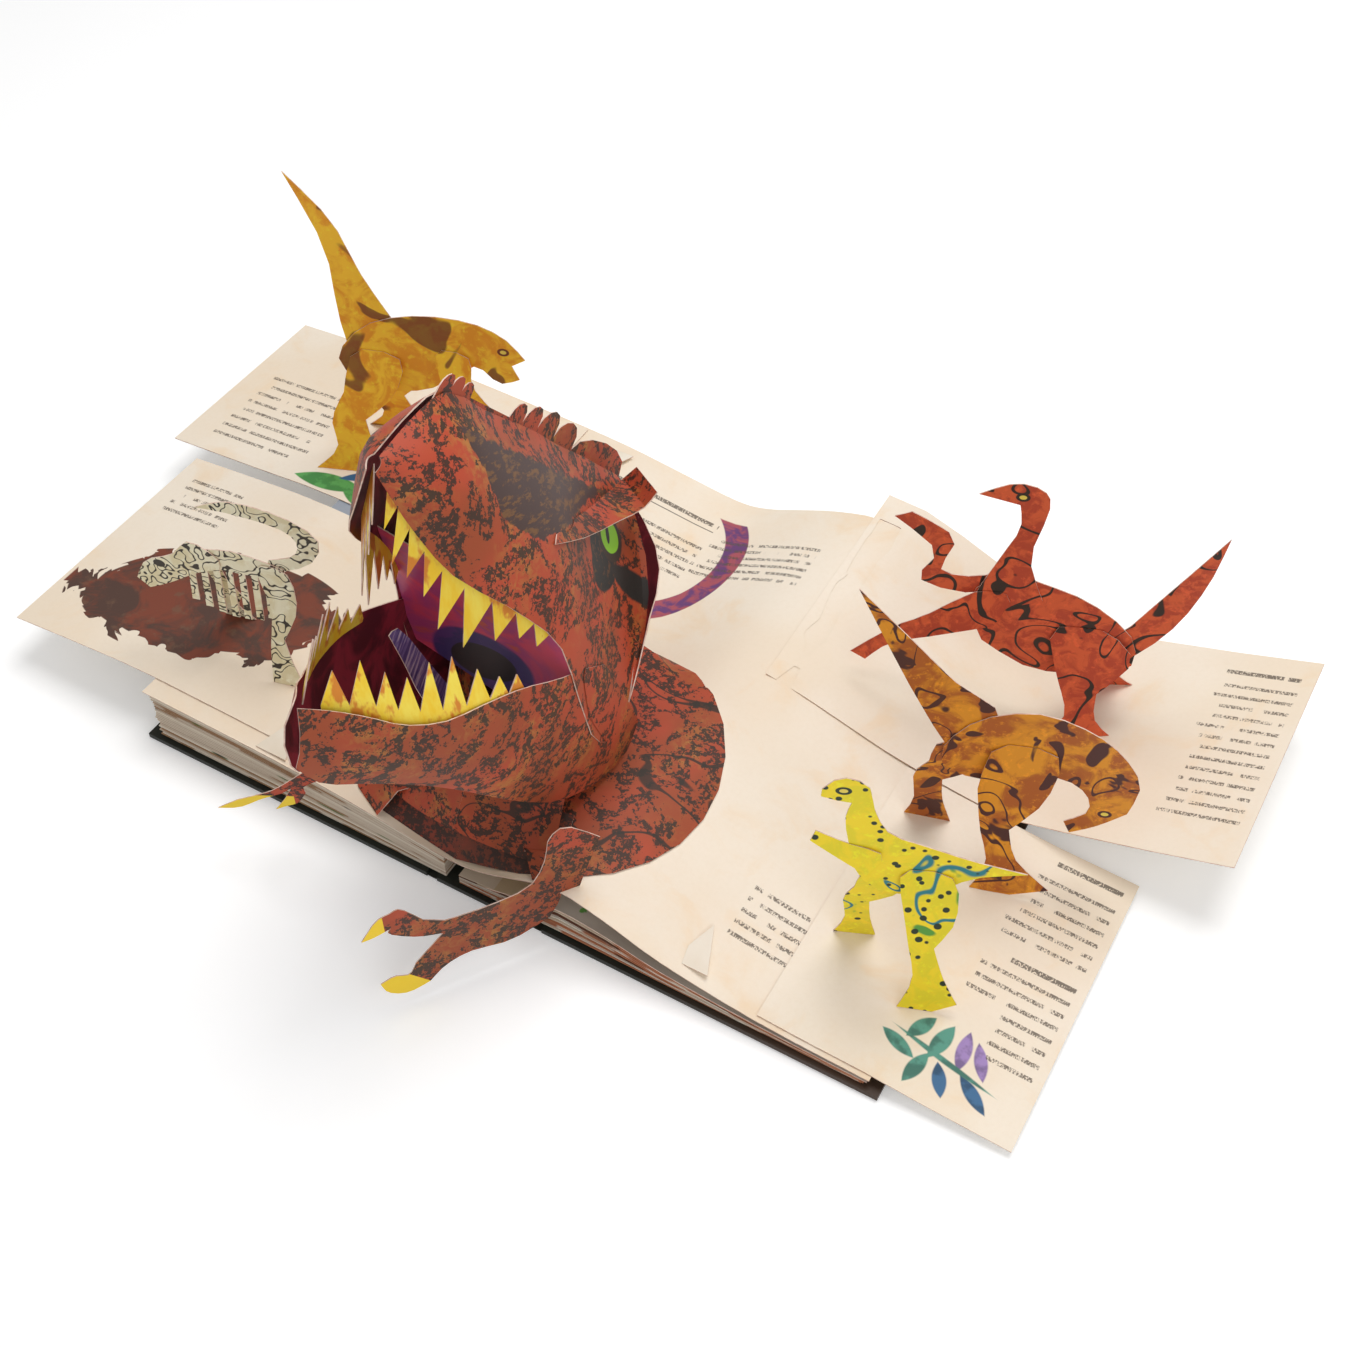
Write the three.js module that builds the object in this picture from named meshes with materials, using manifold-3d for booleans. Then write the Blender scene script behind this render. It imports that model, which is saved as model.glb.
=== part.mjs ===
// A large pop-up book lying open on a table, with its biggest pop-up raised.
// Frame: X to the right across the spine, Y back along the spine, Z up.
// The origin is the middle of the spine board's underside. All sizes are in millimetres.

import * as THREE from 'three';
import { mergeVertices } from 'three/addons/utils/BufferGeometryUtils.js';
import Module from 'manifold-3d';

const wasm = await Module();
wasm.setup();

// Case of the book
const boardWidth = 181;
const boardHeight = 302;
const boardThick = 3;
const spineBoardWidth = 56;
const hingeGap = 6;

// Pages
const pageInsetHead = 2.5;
const pageInsetFore = 3;
const cardThick = 0.6;
const clearance = 0.3;
const leftLeafCount = 7;
const leftLeafThick = 1.6;
const rightLeafCount = 3;
const rightLeafThick = 0.6;
const leafRootWidth = 20;
const gutterX = -20;
const gutterZ = 20.3;
const crestX = 43;
const crestFrontZ = 40;
const crestBackX = 70;
const crestBackZ = 48;
const leftEdgeZ = 36;
const rightEdgeZ = 8.5;

// Fold-outs: how far each reaches from the spine and where it lies along it
const lowerLeftReach = 312;
const upperLeftReach = 336;
const lowerRightReach = 278;
const upperRightReach = 316;
const leftFoldoutSplit = 16;
const rightFoldoutSplit = 18.5;

// The raised head: its jaw hinge, the tilt of the upper jaw, and its half width
const headMiddleX = -17;
const jawHingeY = -105;
const jawHingeZ = 150;
const headTilt = THREE.MathUtils.degToRad(69);
const ridgeHalfGap = 1.2;

// Worked out from the sizes above
const pitch = cardThick + clearance;
const caseHalfWidth = spineBoardWidth / 2 + hingeGap + boardWidth;
const pageHalfHeight = boardHeight / 2 - pageInsetHead;
const frontEdgeY = -pageHalfHeight;
const leftEdgeX = -(caseHalfWidth - pageInsetFore);
const rightEdgeX = caseHalfWidth - 2 * pageInsetFore;
const pagesBottom = boardThick + clearance;

function material(color, roughness = 0.7) {
  return new THREE.MeshStandardMaterial({ color, roughness, metalness: 0 });
}
const finishes = {
  cover: material(0x1f221d, 0.6),
  pages: material(0xe9dcc6),
  parchment: material(0xf0e2ca),
  parchmentDark: material(0xb7a793),
  hide: material(0xa8452c),
  hideDark: material(0x5c2f26),
  mouth: material(0x7c2038),
  tongue: material(0x5d4a80),
  teeth: material(0xf2c230),
  amber: material(0xd9942a),
  bone: material(0xe8dcb4),
  brick: material(0xb04a38),
  umber: material(0xb8692a),
  lime: material(0xd8d23a),
};

// A closed mesh becomes a solid once its shared vertices are merged
function toSolid(geometry) {
  geometry.deleteAttribute('normal');
  geometry.deleteAttribute('uv');
  const merged = mergeVertices(geometry, 1e-4);
  return new wasm.Manifold(new wasm.Mesh({
    numProp: 3,
    vertProperties: new Float32Array(merged.attributes.position.array),
    triVerts: new Uint32Array(merged.index.array),
  }));
}

function toGeometry(solid) {
  const mesh = solid.getMesh();
  const geometry = new THREE.BufferGeometry();
  geometry.setAttribute('position', new THREE.BufferAttribute(new Float32Array(mesh.vertProperties), 3));
  geometry.setIndex(new THREE.BufferAttribute(new Uint32Array(mesh.triVerts), 1));
  geometry.computeVertexNormals();
  return geometry;
}

function largestPiece(solid) {
  const pieces = solid.decompose();
  return pieces.reduce((best, piece) => (piece.volume() > best.volume() ? piece : best));
}

const join = (...makers) => (thick) => makers.map((make) => make(thick)).reduce((a, b) => a.add(b));

// A flat outline: each run is a corner point, or several points that a smooth curve follows
function outline(...runs) {
  const shape = new THREE.Shape();
  const points = runs.map((run) => (Array.isArray(run[0]) ? run : [run]));
  const last = points.at(-1).at(-1);
  shape.moveTo(last[0], last[1]);
  for (const run of points) {
    if (run.length === 1) {
      shape.lineTo(run[0][0], run[0][1]);
    } else {
      shape.splineThru(run.map(([x, y]) => new THREE.Vector2(x, y)));
    }
  }
  return shape;
}

// A flat card standing on the point 'at': turned about Z by yaw, leaning about a line at 'hip'
function card(shape, { at, yaw = 0, lean = 0, hip = 0, layer = 0, flat = 0 }) {
  return (thick) => {
    const settings = { depth: thick, bevelEnabled: false, curveSegments: 2 };
    const geometry = new THREE.ExtrudeGeometry(shape, settings);
    geometry.translate(0, 0, -thick / 2);
    geometry.rotateX(Math.PI / 2);
    geometry.translate(0, 0, -hip);
    geometry.rotateX(THREE.MathUtils.degToRad(lean + flat));
    geometry.translate(0, -layer * pitch, hip);
    geometry.rotateZ(THREE.MathUtils.degToRad(yaw));
    geometry.translate(...at);
    return toSolid(geometry);
  };
}

// The same grid with its outer points moved outwards in the card's own surface
function widened(grid, by) {
  const push = (end, inner) => end.clone().addScaledVector(end.clone().sub(inner).normalize(), by);
  const wide = grid.map((row) => [push(row[0], row[1]), ...row.slice(1, -1), push(row.at(-1), row.at(-2))]);
  const first = wide[0].map((point, j) => push(point, wide[1][j]));
  const last = wide.at(-1).map((point, j) => push(point, wide.at(-2)[j]));
  return [first, ...wide.slice(1, -1), last];
}

// A curved card: a grid of points, thickened to both sides
function curvedCard(grid) {
  const rows = grid.length;
  const columns = grid[0].length;
  return (thick) => {
    const points = widened(grid, (thick - cardThick) / 2);
    const at = (i, j) => points[Math.min(Math.max(i, 0), rows - 1)][Math.min(Math.max(j, 0), columns - 1)];
    const positions = [];
    for (const side of [1, -1]) {
      for (let i = 0; i < rows; i += 1) {
        for (let j = 0; j < columns; j += 1) {
          const along = at(i + 1, j).clone().sub(at(i - 1, j));
          const across = at(i, j + 1).clone().sub(at(i, j - 1));
          const normal = along.cross(across).normalize();
          positions.push(...at(i, j).clone().addScaledVector(normal, side * thick / 2).toArray());
        }
      }
    }
    const back = rows * columns;
    const index = [];
    const quad = (a, b, c, d) => index.push(a, b, c, a, c, d);
    for (let i = 0; i < rows - 1; i += 1) {
      for (let j = 0; j < columns - 1; j += 1) {
        const a = i * columns + j;
        quad(a, a + columns, a + columns + 1, a + 1);
        quad(back + a, back + a + 1, back + a + columns + 1, back + a + columns);
      }
    }
    for (let j = 0; j < columns - 1; j += 1) {
      const far = (rows - 1) * columns + j;
      quad(j, j + 1, back + j + 1, back + j);
      quad(far, back + far, back + far + 1, far + 1);
    }
    for (let i = 0; i < rows - 1; i += 1) {
      const near = i * columns;
      const far = near + columns - 1;
      quad(near, back + near, back + near + columns, near + columns);
      quad(far, far + columns, back + far + columns, back + far);
    }
    const geometry = new THREE.BufferGeometry();
    geometry.setAttribute('position', new THREE.Float32BufferAttribute(positions, 3));
    geometry.setIndex(index);
    return toSolid(geometry);
  };
}

const vector = ([x, y, z]) => new THREE.Vector3(x, y, z);

// Points spaced evenly along a smooth curve through the given ones
const smooth = (points, steps) => new THREE.CatmullRomCurve3(points.map(vector)).getPoints(steps);

// A curved card ruled between two edges, bulging outwards between them where it is wide enough
const fullBulgeWidth = 40;
function ruledCard(edgeA, edgeB, { steps = 12, across = 3, bulge = [0, 0, 0] } = {}) {
  const a = smooth(edgeA, steps);
  const b = smooth(edgeB, steps);
  return curvedCard(a.map((start, i) => Array.from({ length: across + 1 }, (_, j) => {
    const t = j / across;
    const swell = Math.sin(Math.PI * t) * Math.min(1, start.distanceTo(b[i]) / fullBulgeWidth);
    return start.clone().lerp(b[i], t).addScaledVector(vector(bulge), swell);
  })));
}

// The surface of the open spread: the same knots across the book at the front and at the back edge
const frontKnots = [
  [leftEdgeX, leftEdgeZ], [-143, 33.5], [-96, 30.5], [-59, 25.5], [gutterX, gutterZ], [0, 23.5],
  [20, 32], [crestX, crestFrontZ], [crestBackX, 33], [100, 21.5], [150, 12], [rightEdgeX, rightEdgeZ],
];
const backKnots = [
  [leftEdgeX, leftEdgeZ], [-143, 33.5], [-96, 30.5], [-59, 25.5], [gutterX, gutterZ], [0, 23.5], [20, 32],
  [crestX, crestFrontZ + 1.5], [crestBackX, crestBackZ], [100, 42], [150, 22], [rightEdgeX, rightEdgeZ],
];
const nextKnots = [
  [gutterX - 2, 12], [-8, 9.5], [18, 16], [crestX, 23], [crestBackX, 20], [100, 13], [150, 8.5],
  [rightEdgeX - 1, rightEdgeZ - 2],
];
function profile(knots, steps) {
  const curve = new THREE.SplineCurve(knots.map(([x, z]) => new THREE.Vector2(x, z)));
  return curve.getPoints(steps);
}
const spreadFront = profile(frontKnots, 33);
const spreadBack = profile(backKnots, 33);
const nextProfile = profile(nextKnots, 21);

function heightOn(points, x) {
  const i = Math.max(1, points.findIndex((point) => point.x >= x));
  const end = x > points.at(-1).x ? points.length - 1 : i;
  const [a, b] = [points[end - 1], points[end]];
  return a.y + (b.y - a.y) * (x - a.x) / (b.x - a.x);
}

function pageZ(x, y) {
  const t = (y + pageHalfHeight) / (2 * pageHalfHeight);
  return (1 - t) * heightOn(spreadFront, x) + t * heightOn(spreadBack, x);
}

// A point lying on the open spread, a number of card layers above it
const onPage = (x, y, layers = 1) => new THREE.Vector3(x, y, pageZ(x, y) + layers * pitch + 0.1);

// A block of leaves that fan out from one root, drawn in the plane across the book
function leafBlock({ rootX, edgeX, stations, topAt, count, leafThick }) {
  const side = Math.sign(edgeX - rootX);
  const throatX = rootX + side * leafRootWidth;
  const level = (k, x) => pagesBottom + (topAt(x) - pagesBottom - leafThick) * k / (count - 1);
  const shape = new THREE.Shape();
  shape.moveTo(rootX, pagesBottom);
  for (let k = 0; k < count; k += 1) {
    const tipX = edgeX - side * 1.5 * ((k * 3) % 4);
    const xs = [throatX, ...stations, tipX];
    xs.forEach((x) => shape.lineTo(x, level(k, x)));
    xs.reverse().forEach((x) => shape.lineTo(x, level(k, x) + leafThick));
  }
  shape.lineTo(rootX, topAt(rootX));
  return card(shape, { at: [0, 0, 0] })(2 * pageHalfHeight);
}

// Every piece made so far. A new card is cut back from the ones it meets, and keeps the clearance.
const made = [];
const root = new THREE.Group();
const groups = {};

function groupFor(name) {
  if (!groups[name]) {
    groups[name] = new THREE.Group();
    groups[name].name = name;
    root.add(groups[name]);
  }
  return groups[name];
}

function meets(a, b) {
  const boxA = a.boundingBox();
  const boxB = b.boundingBox();
  return [0, 1, 2].every((k) => boxA.min[k] <= boxB.max[k] && boxB.min[k] <= boxA.max[k]);
}

function addPiece(group, name, finish, maker) {
  let solid = maker(cardThick);
  for (const earlier of made) {
    if (meets(solid, earlier.grown)) {
      solid = largestPiece(solid.subtract(earlier.grown));
    }
  }
  made.push({ name, grown: maker(cardThick + 2 * clearance) });
  const mesh = new THREE.Mesh(toGeometry(solid), finishes[finish]);
  mesh.name = name;
  groupFor(group).add(mesh);
}

function addBlock(group, name, finish, solid, grown = solid) {
  made.push({ name, grown });
  const mesh = new THREE.Mesh(toGeometry(solid), finishes[finish]);
  mesh.name = name;
  groupFor(group).add(mesh);
}

// Case: two cover boards and the spine board, lying flat
function board(width, x) {
  return toSolid(new THREE.BoxGeometry(width, boardHeight, boardThick)).translate([x, 0, boardThick / 2]);
}
const coverX = spineBoardWidth / 2 + hingeGap + boardWidth / 2;
addBlock('case', 'spine_board', 'cover', board(spineBoardWidth, 0));
addBlock('case', 'left_cover', 'cover', board(boardWidth, -coverX));
addBlock('case', 'right_cover', 'cover', board(boardWidth, coverX));

// Page blocks under the open spread
const underSpread = (x) => heightOn(spreadFront, x) - cardThick / 2 - 2 * clearance;
const underNext = (x) => heightOn(nextProfile, x) - cardThick / 2 - 2 * clearance;
addBlock('pages', 'left_page_block', 'pages', leafBlock({
  rootX: gutterX - 4,
  edgeX: leftEdgeX,
  stations: [-75, -110, -150],
  topAt: underSpread,
  count: leftLeafCount,
  leafThick: leftLeafThick,
}));
addBlock('pages', 'right_page_block', 'pages', leafBlock({
  rootX: gutterX + 4,
  edgeX: rightEdgeX,
  stations: [20, crestX, crestBackX, 100, 150],
  topAt: underNext,
  count: rightLeafCount,
  leafThick: rightLeafThick,
}));
const nextRow = (y) => nextProfile.map((point) => new THREE.Vector3(point.x, y, point.y));
const nextRows = [nextRow(-pageHalfHeight), nextRow(pageHalfHeight)];
addPiece('pages', 'next_spread', 'parchmentDark', curvedCard(nextRows));

const spreadRows = Array.from({ length: 7 }, (_, i) => {
  const t = i / 6;
  const y = pageHalfHeight * (2 * t - 1);
  return spreadFront.map(({ x, y: z }, k) => new THREE.Vector3(x, y, (1 - t) * z + t * spreadBack[k].y));
});
addPiece('pages', 'open_spread', 'parchment', curvedCard(spreadRows));

// Fold-outs: one leaf lies on the spread, the other reaches past the book's edge
function foldout(innerX, outer, yFront, yBack) {
  const reach = outer[0][0] - innerX;
  const last = Math.sign(reach) > 0 ? rightEdgeX - 4 : leftEdgeX;
  const inner = Array.from({ length: 7 }, (_, i) => innerX + (last - innerX) * i / 6);
  const rows = Array.from({ length: 5 }, (_, i) => yFront + (yBack - yFront) * i / 4);
  return curvedCard(rows.map((y) => [
    ...inner.map((x) => onPage(x, y)),
    ...outer.map(([x, z]) => new THREE.Vector3(x, y, z)),
  ]));
}
const leftHang = [[-(caseHalfWidth + 22), 36.5], [-275, 33.5]];
addPiece('foldouts', 'lower_left_foldout', 'parchment', foldout(
  -122, [...leftHang, [-lowerLeftReach, 30]], -138, leftFoldoutSplit - 4,
));
addPiece('foldouts', 'upper_left_foldout', 'parchment', foldout(
  -122, [...leftHang, [-upperLeftReach, 29.5]], leftFoldoutSplit + 4, 147,
));
addPiece('foldouts', 'upper_right_foldout', 'parchment', foldout(
  66, [[235, 18.5], [275, 31], [upperRightReach, 45]], rightFoldoutSplit + 0.5, 168,
));
addPiece('foldouts', 'lower_right_foldout', 'parchment', foldout(
  150, [[235, 6.5], [lowerRightReach, 3.6]], -146, rightFoldoutSplit - 0.5,
));

// Small triangular paper tabs that hold the pull strips, lying on the spread
function tab(x, y, turn) {
  const shape = outline([-9, 0], [10, 0], [0, 25]);
  return card(shape, { at: [x, y, pageZ(x, y) + 1.2], yaw: turn, flat: -84 });
}
addPiece('pages', 'paper_tab_front', 'parchment', tab(112, frontEdgeY + 5.5, 0));
addPiece('pages', 'paper_tab_left', 'parchment', tab(-130, frontEdgeY + 2, 0));
addPiece('pages', 'paper_tab_back', 'parchment', tab(-96, pageHalfHeight - 7.5, 180));

// Body: two cards that spread over both pages on each side of the gutter
const bodyY = -72;
const bodyRadius = 98;
const bodyZ = 41;
const bodyRise = 9;
function bodySheet(side) {
  const outer = [];
  for (let i = 0; i <= 12; i += 1) {
    const angle = THREE.MathUtils.degToRad(84 - 146 * i / 12);
    const x = headMiddleX + side * bodyRadius * Math.cos(angle);
    const y = Math.max(bodyY + bodyRadius * 0.9 * Math.sin(angle), -pageHalfHeight + 1);
    outer.push([x, y]);
  }
  return curvedCard(outer.map(([x, y]) => Array.from({ length: 6 }, (_, j) => {
    const t = j / 5;
    const innerX = headMiddleX + side * 3;
    const px = x + (innerX - x) * t;
    const py = y + (bodyY - y) * t * 0.55;
    const rim = pageZ(px, py) + pitch + 0.1;
    return new THREE.Vector3(px, py, t === 0 ? rim : Math.max(rim, bodyZ + bodyRise * t));
  })));
}
addPiece('body', 'body_right', 'hide', bodySheet(1));
addPiece('body', 'body_left', 'hide', bodySheet(-1));

// The head's far side is pressed in a little, as the raised card stands in the photograph
const farSideSqueeze = 0.82;
function sideways(aside, side) {
  const free = Math.max(aside - ridgeHalfGap, 0) * (side > 0 ? 1 : farSideSqueeze);
  return headMiddleX + side * (Math.min(aside, ridgeHalfGap) + free);
}

// Head: points are given along the upper jaw, out from it, and sideways from the middle
function headPoint([along, out, aside], side) {
  const y = jawHingeY - along * Math.cos(headTilt) + out * Math.sin(headTilt);
  const z = jawHingeZ + along * Math.sin(headTilt) + out * Math.cos(headTilt);
  return [sideways(aside, side), y, z];
}
const mirrored = (points, side) => points.map(([aside, y, z]) => [sideways(aside, side), y, z]);

const skullRidge = [
  [148, 3, ridgeHalfGap], [143, 24, ridgeHalfGap], [134, 42, ridgeHalfGap], [96, 57, ridgeHalfGap],
  [57, 73, ridgeHalfGap], [30, 82, ridgeHalfGap], [4, 92, ridgeHalfGap], [-22, 101, ridgeHalfGap],
  [-42, 107, ridgeHalfGap + 2], [-46, 100, 12],
];
const skullLip = [
  [146, -3, ridgeHalfGap + 1], [124, -10, 14], [101, -14, 27], [62, -6, 40],
  [24, -1, 48], [-16, -10, 53], [-54, -14, 54], [-82, 2, 51],
  [-72, 26, 49], [-54, 52, 47],
];
const skull = (side) => ruledCard(
  skullRidge.map((point) => headPoint(point, side)),
  skullLip.map((point) => headPoint(point, side)),
  { steps: 22, across: 5, bulge: [side * 9, 2, 3] },
);

const jawTop = [
  [ridgeHalfGap, -224, 214], [9, -215, 208], [19, -206, 201], [28, -196, 191], [37, -182, 184],
  [43, -163, 179], [47, -143, 171], [50, -121, 157], [50, -98, 142], [48, -80, 126],
];
const jawBottom = [
  [ridgeHalfGap, -232, 186], [6, -225, 172], [15, -211, 162], [25, -194, 149], [34, -176, 131],
  [41, -154, 104], [46, -124, 72], [49, -92, 53], [50, -68, 50], [50, -55, 62],
];
const lowerJaw = (side) => ruledCard(
  mirrored(jawTop, side),
  mirrored(jawBottom, side),
  { steps: 20, across: 3, bulge: [side * 4, -2, 0] },
);

// Teeth: a strip along the lip whose free edge runs in points, cut in almost to the lip
const valleyShare = 0.26;
function toothStrip(lip, { count, length, aim }) {
  const base = smooth(lip, count * 2);
  const reach = vector(aim).normalize();
  return curvedCard(base.map((point, i) => {
    const taper = Math.sin(Math.PI * (0.18 + 0.72 * i / (count * 2)));
    const vary = 1 + 0.2 * Math.sin(i * 2.4);
    const depth = (i % 2 ? length * vary : length * valleyShare) * taper;
    return [0, 0.5, 1].map((part) => point.clone().addScaledVector(reach, depth * part));
  }));
}
const upperLip = [[141, 2, 4], [121, -5, 13], [98, -8, 25], [62, -1, 37], [30, 3, 44]];
const upperTeeth = (side) => toothStrip(
  upperLip.map((point) => headPoint(point, side)),
  { count: 9, length: 30, aim: [side * -3, -9, -22] },
);
const lowerLip = [
  [5, -216, 205], [18.5, -203, 196], [28.5, -192, 186], [37.5, -178, 179], [44, -158, 172], [47, -140, 164],
];
const lowerTeeth = (side) => toothStrip(
  mirrored(lowerLip, side),
  { count: 9, length: 28, aim: [side * -3, 6, 20] },
);

// Crest: one card along the middle, with scallops over the nose and larger ones over the brow
const crestBumps = [
  [[137, 43], [129, 48], [121, 51], [113, 53]],
  [[78, 66], [66, 71], [52, 77], [35, 83], [14, 89], [-44, 110]],
];
function crestShape() {
  const shape = new THREE.Shape();
  shape.moveTo(136, 36);
  for (const bumps of crestBumps) {
    shape.lineTo(...bumps[0]);
    bumps.slice(1).forEach((b, i) => {
      const a = bumps[i];
      const swell = Math.min(0.95 * (a[0] - b[0]), 15);
      shape.bezierCurveTo(a[0] + 1, a[1] + swell * 0.8, b[0] + 1, b[1] + swell * 1.1, b[0], b[1]);
    });
  }
  shape.lineTo(-46, 96);
  shape.lineTo(60, 62);
  return shape;
}
function crest(thick) {
  const settings = { depth: thick, bevelEnabled: false, curveSegments: 6 };
  const geometry = new THREE.ExtrudeGeometry(crestShape(), settings);
  geometry.translate(0, 0, -thick / 2);
  const [ox, oy, oz] = headPoint([0, 0, 0], 1);
  const along = new THREE.Vector3(0, -Math.cos(headTilt), Math.sin(headTilt));
  const out = new THREE.Vector3(0, Math.sin(headTilt), Math.cos(headTilt));
  const aside = along.clone().cross(out);
  geometry.applyMatrix4(new THREE.Matrix4().makeBasis(along, out, aside).setPosition(ox, oy, oz));
  return toSolid(geometry);
}

// Brow: a three-cornered flap that stands out over the eye
const browFold = [[52, 35, 34], [24, 55.5, 24.5], [-11, 81, 13.5], [-38, 106, 6], [-32, 112, 12]];
const browEdge = [[54, 30, 37], [28, 47, 35], [-8, 74, 29], [-21, 90, 31], [-18, 98, 34]];
const brow = (side) => ruledCard(
  browFold.map((point) => headPoint(point, side)),
  browEdge.map((point) => headPoint(point, side)),
  { steps: 8, across: 2 },
);

addPiece('head', 'head_crest', 'hideDark', crest);
addPiece('head', 'head_right', 'hide', skull(1));
addPiece('head', 'head_left', 'hide', skull(-1));
addPiece('head', 'lower_jaw_right', 'hide', lowerJaw(1));
addPiece('head', 'lower_jaw_left', 'hide', lowerJaw(-1));
addPiece('head', 'brow_right', 'hide', brow(1));
addPiece('head', 'brow_left', 'hide', brow(-1));
addPiece('head', 'upper_teeth_right', 'teeth', upperTeeth(1));
addPiece('head', 'upper_teeth_left', 'teeth', upperTeeth(-1));
addPiece('head', 'lower_teeth_right', 'teeth', lowerTeeth(1));
addPiece('head', 'lower_teeth_left', 'teeth', lowerTeeth(-1));

// Mouth: a folded throat card and the tongue that stands in its fold
// The two halves of a folded card meet this far past its fold
const seamOverlap = 0.2;
const throatSide = (side) => ruledCard(
  mirrored([[-seamOverlap, -126, 206], [-seamOverlap, -112, 160], [-seamOverlap, -98, 96]], side),
  mirrored([[40, -128, 216], [52, -112, 166], [50, -104, 118]], side),
  { steps: 6, across: 3 },
);
addPiece('mouth', 'throat', 'mouth', join(throatSide(1), throatSide(-1)));
const tongueShape = outline(
  [[-96, 96], [-118, 106], [-140, 152], [-158, 196], [-166, 200]],
  [[-160, 178], [-150, 140], [-128, 92], [-104, 78]],
);
addPiece('mouth', 'tongue', 'tongue', card(tongueShape, { at: [headMiddleX, 0, 0], yaw: 90 }));

// Neck and struts that carry the head from the body
const neck = (side) => ruledCard(
  mirrored([[14, -118, 44], [32, -92, 43], [36, -60, 43], [26, -26, 43], [6, -14, 43]], side),
  mirrored([[10, -96, 108], [34, -88, 112], [40, -62, 118], [30, -36, 126], [8, -20, 132]], side),
  { steps: 10, across: 3, bulge: [side * 4, 0, 0] },
);
addPiece('neck', 'neck_right', 'hide', neck(1));
addPiece('neck', 'neck_left', 'hide', neck(-1));

// Chest: folded plates in front of the neck. The lower one stands on the front edge of the page.
const chestFrontY = frontEdgeY + 1.5;
function chestFoot(side) {
  return [-seamOverlap, 28, 56].map((aside) => {
    const x = sideways(aside, side);
    return [x, chestFrontY + aside * 0.06, pageZ(x, chestFrontY) + pitch + 0.1];
  });
}
// Points on a chest plate: sideways, back from the front of the chest, and up
function chestRow(points, side) {
  return mirrored(points.map(([aside, back, z]) => [aside, chestFrontY + back, z]), side);
}
function chestPlate(footAt, rim) {
  const half = (side) => ruledCard(footAt(side), chestRow(rim, side), { steps: 6, across: 2 });
  return join(half(1), half(-1));
}
const upperChestFoot = [[-seamOverlap, 1, 44], [25, 4, 41], [50, 9, 38]];
addPiece('neck', 'chest_plate_lower', 'hideDark', chestPlate(
  chestFoot,
  [[-seamOverlap, 26, 54], [26, 30, 52], [48, 35, 48]],
));
addPiece('neck', 'chest_plate_upper', 'hide', chestPlate(
  (side) => chestRow(upperChestFoot, side),
  [[-seamOverlap, 27, 80], [23, 32, 76], [42, 43, 70]],
));

// Arms reach forward past the front of the book, each hand with two clawed fingers
const rightArm = outline(
  [3, 29],
  [[-13, 46], [-22, 42], [-25, 27], [-34, 12], [-56, 10], [-75, 12]],
  [-85, 19],
  [[-94, 33], [-99, 33], [-106, 31], [-114, 20]],
  [[-108, 20], [-100, 22]],
  [[-101, 18], [-89, 8], [-77, 3]],
  [-92, -12],
  [[-96, -19], [-103, -16], [-110, -18]],
  [[-107, -27], [-98, -33], [-87, -31]],
  [[-78, -23], [-65, -20], [-45, -24], [-25, -18]],
  [-20, -9],
  [-18, -2.2],
  [-9, -3.4],
  [-6, 6],
);
const leftArm = outline(
  [[26, 14], [-6, 26], [-20, 23], [-35, 12]],
  [[-50, -1], [-60, -6], [-70, -10]],
  [-81, -17],
  [[-70, -16], [-58, -9], [-47, -4]],
  [[-42, 0], [-44, -4], [-46, -8]],
  [-52, -17],
  [[-46, -14], [-40, -11], [-35, -3]],
  [[-34, 3], [-14, 10], [24, 2]],
);
addPiece('arms', 'right_arm', 'hide', card(rightArm, { at: [56, frontEdgeY + 15.5, 42], yaw: 56 }));
addPiece('arms', 'left_arm', 'hide', card(leftArm, { at: [-62, frontEdgeY + 2.5, 46], yaw: 28 }));

// Small pop-ups. Each is a set of cards on one spot of a page, with its legs leaning outwards.
function figure(name, finish, at, yaw, cards) {
  for (const [piece, { shape, ...place }] of Object.entries(cards)) {
    addPiece(name, `${name}_${piece}`, finish, card(shape, { at, yaw, ...place }));
  }
}

figure('amber_runner', 'amber', [-237.5, 57.5, 37], 20, {
  body: {
    shape: outline(
      [[8, 70], [26, 92], [54, 102], [84, 102], [104, 94], [116, 80]],
      [108, 75],
      [112, 66],
      [[100, 62], [88, 72], [76, 64], [58, 52], [34, 48], [14, 54]],
    ),
  },
  tail: {
    shape: outline([[22, 56], [12, 92], [10, 140], [-6, 185]], [[16, 158], [28, 126], [42, 98], [52, 80]]),
    layer: -1,
  },
  near_leg: {
    shape: outline(
      [[18, 74], [44, 72], [40, 50], [22, 32]],
      [[26, 18], [36, 2]],
      [14, -4],
      [-10, -3],
      [[4, 12], [2, 30], [10, 48]],
    ),
    layer: 1,
    lean: -14,
    hip: 74,
  },
  far_leg: {
    shape: outline(
      [[30, 74], [56, 72], [52, 50], [38, 32]],
      [[42, 18], [54, 2]],
      [30, -4],
      [10, -3],
      [[22, 12], [18, 30], [24, 48]],
    ),
    layer: -2,
    lean: 16,
    hip: 74,
  },
  near_arm: {
    shape: outline([[66, 80], [84, 78], [86, 62], [96, 50]], [88, 44], [[76, 50], [68, 62]]),
    layer: 1,
    lean: -16,
    hip: 80,
  },
});

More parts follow.
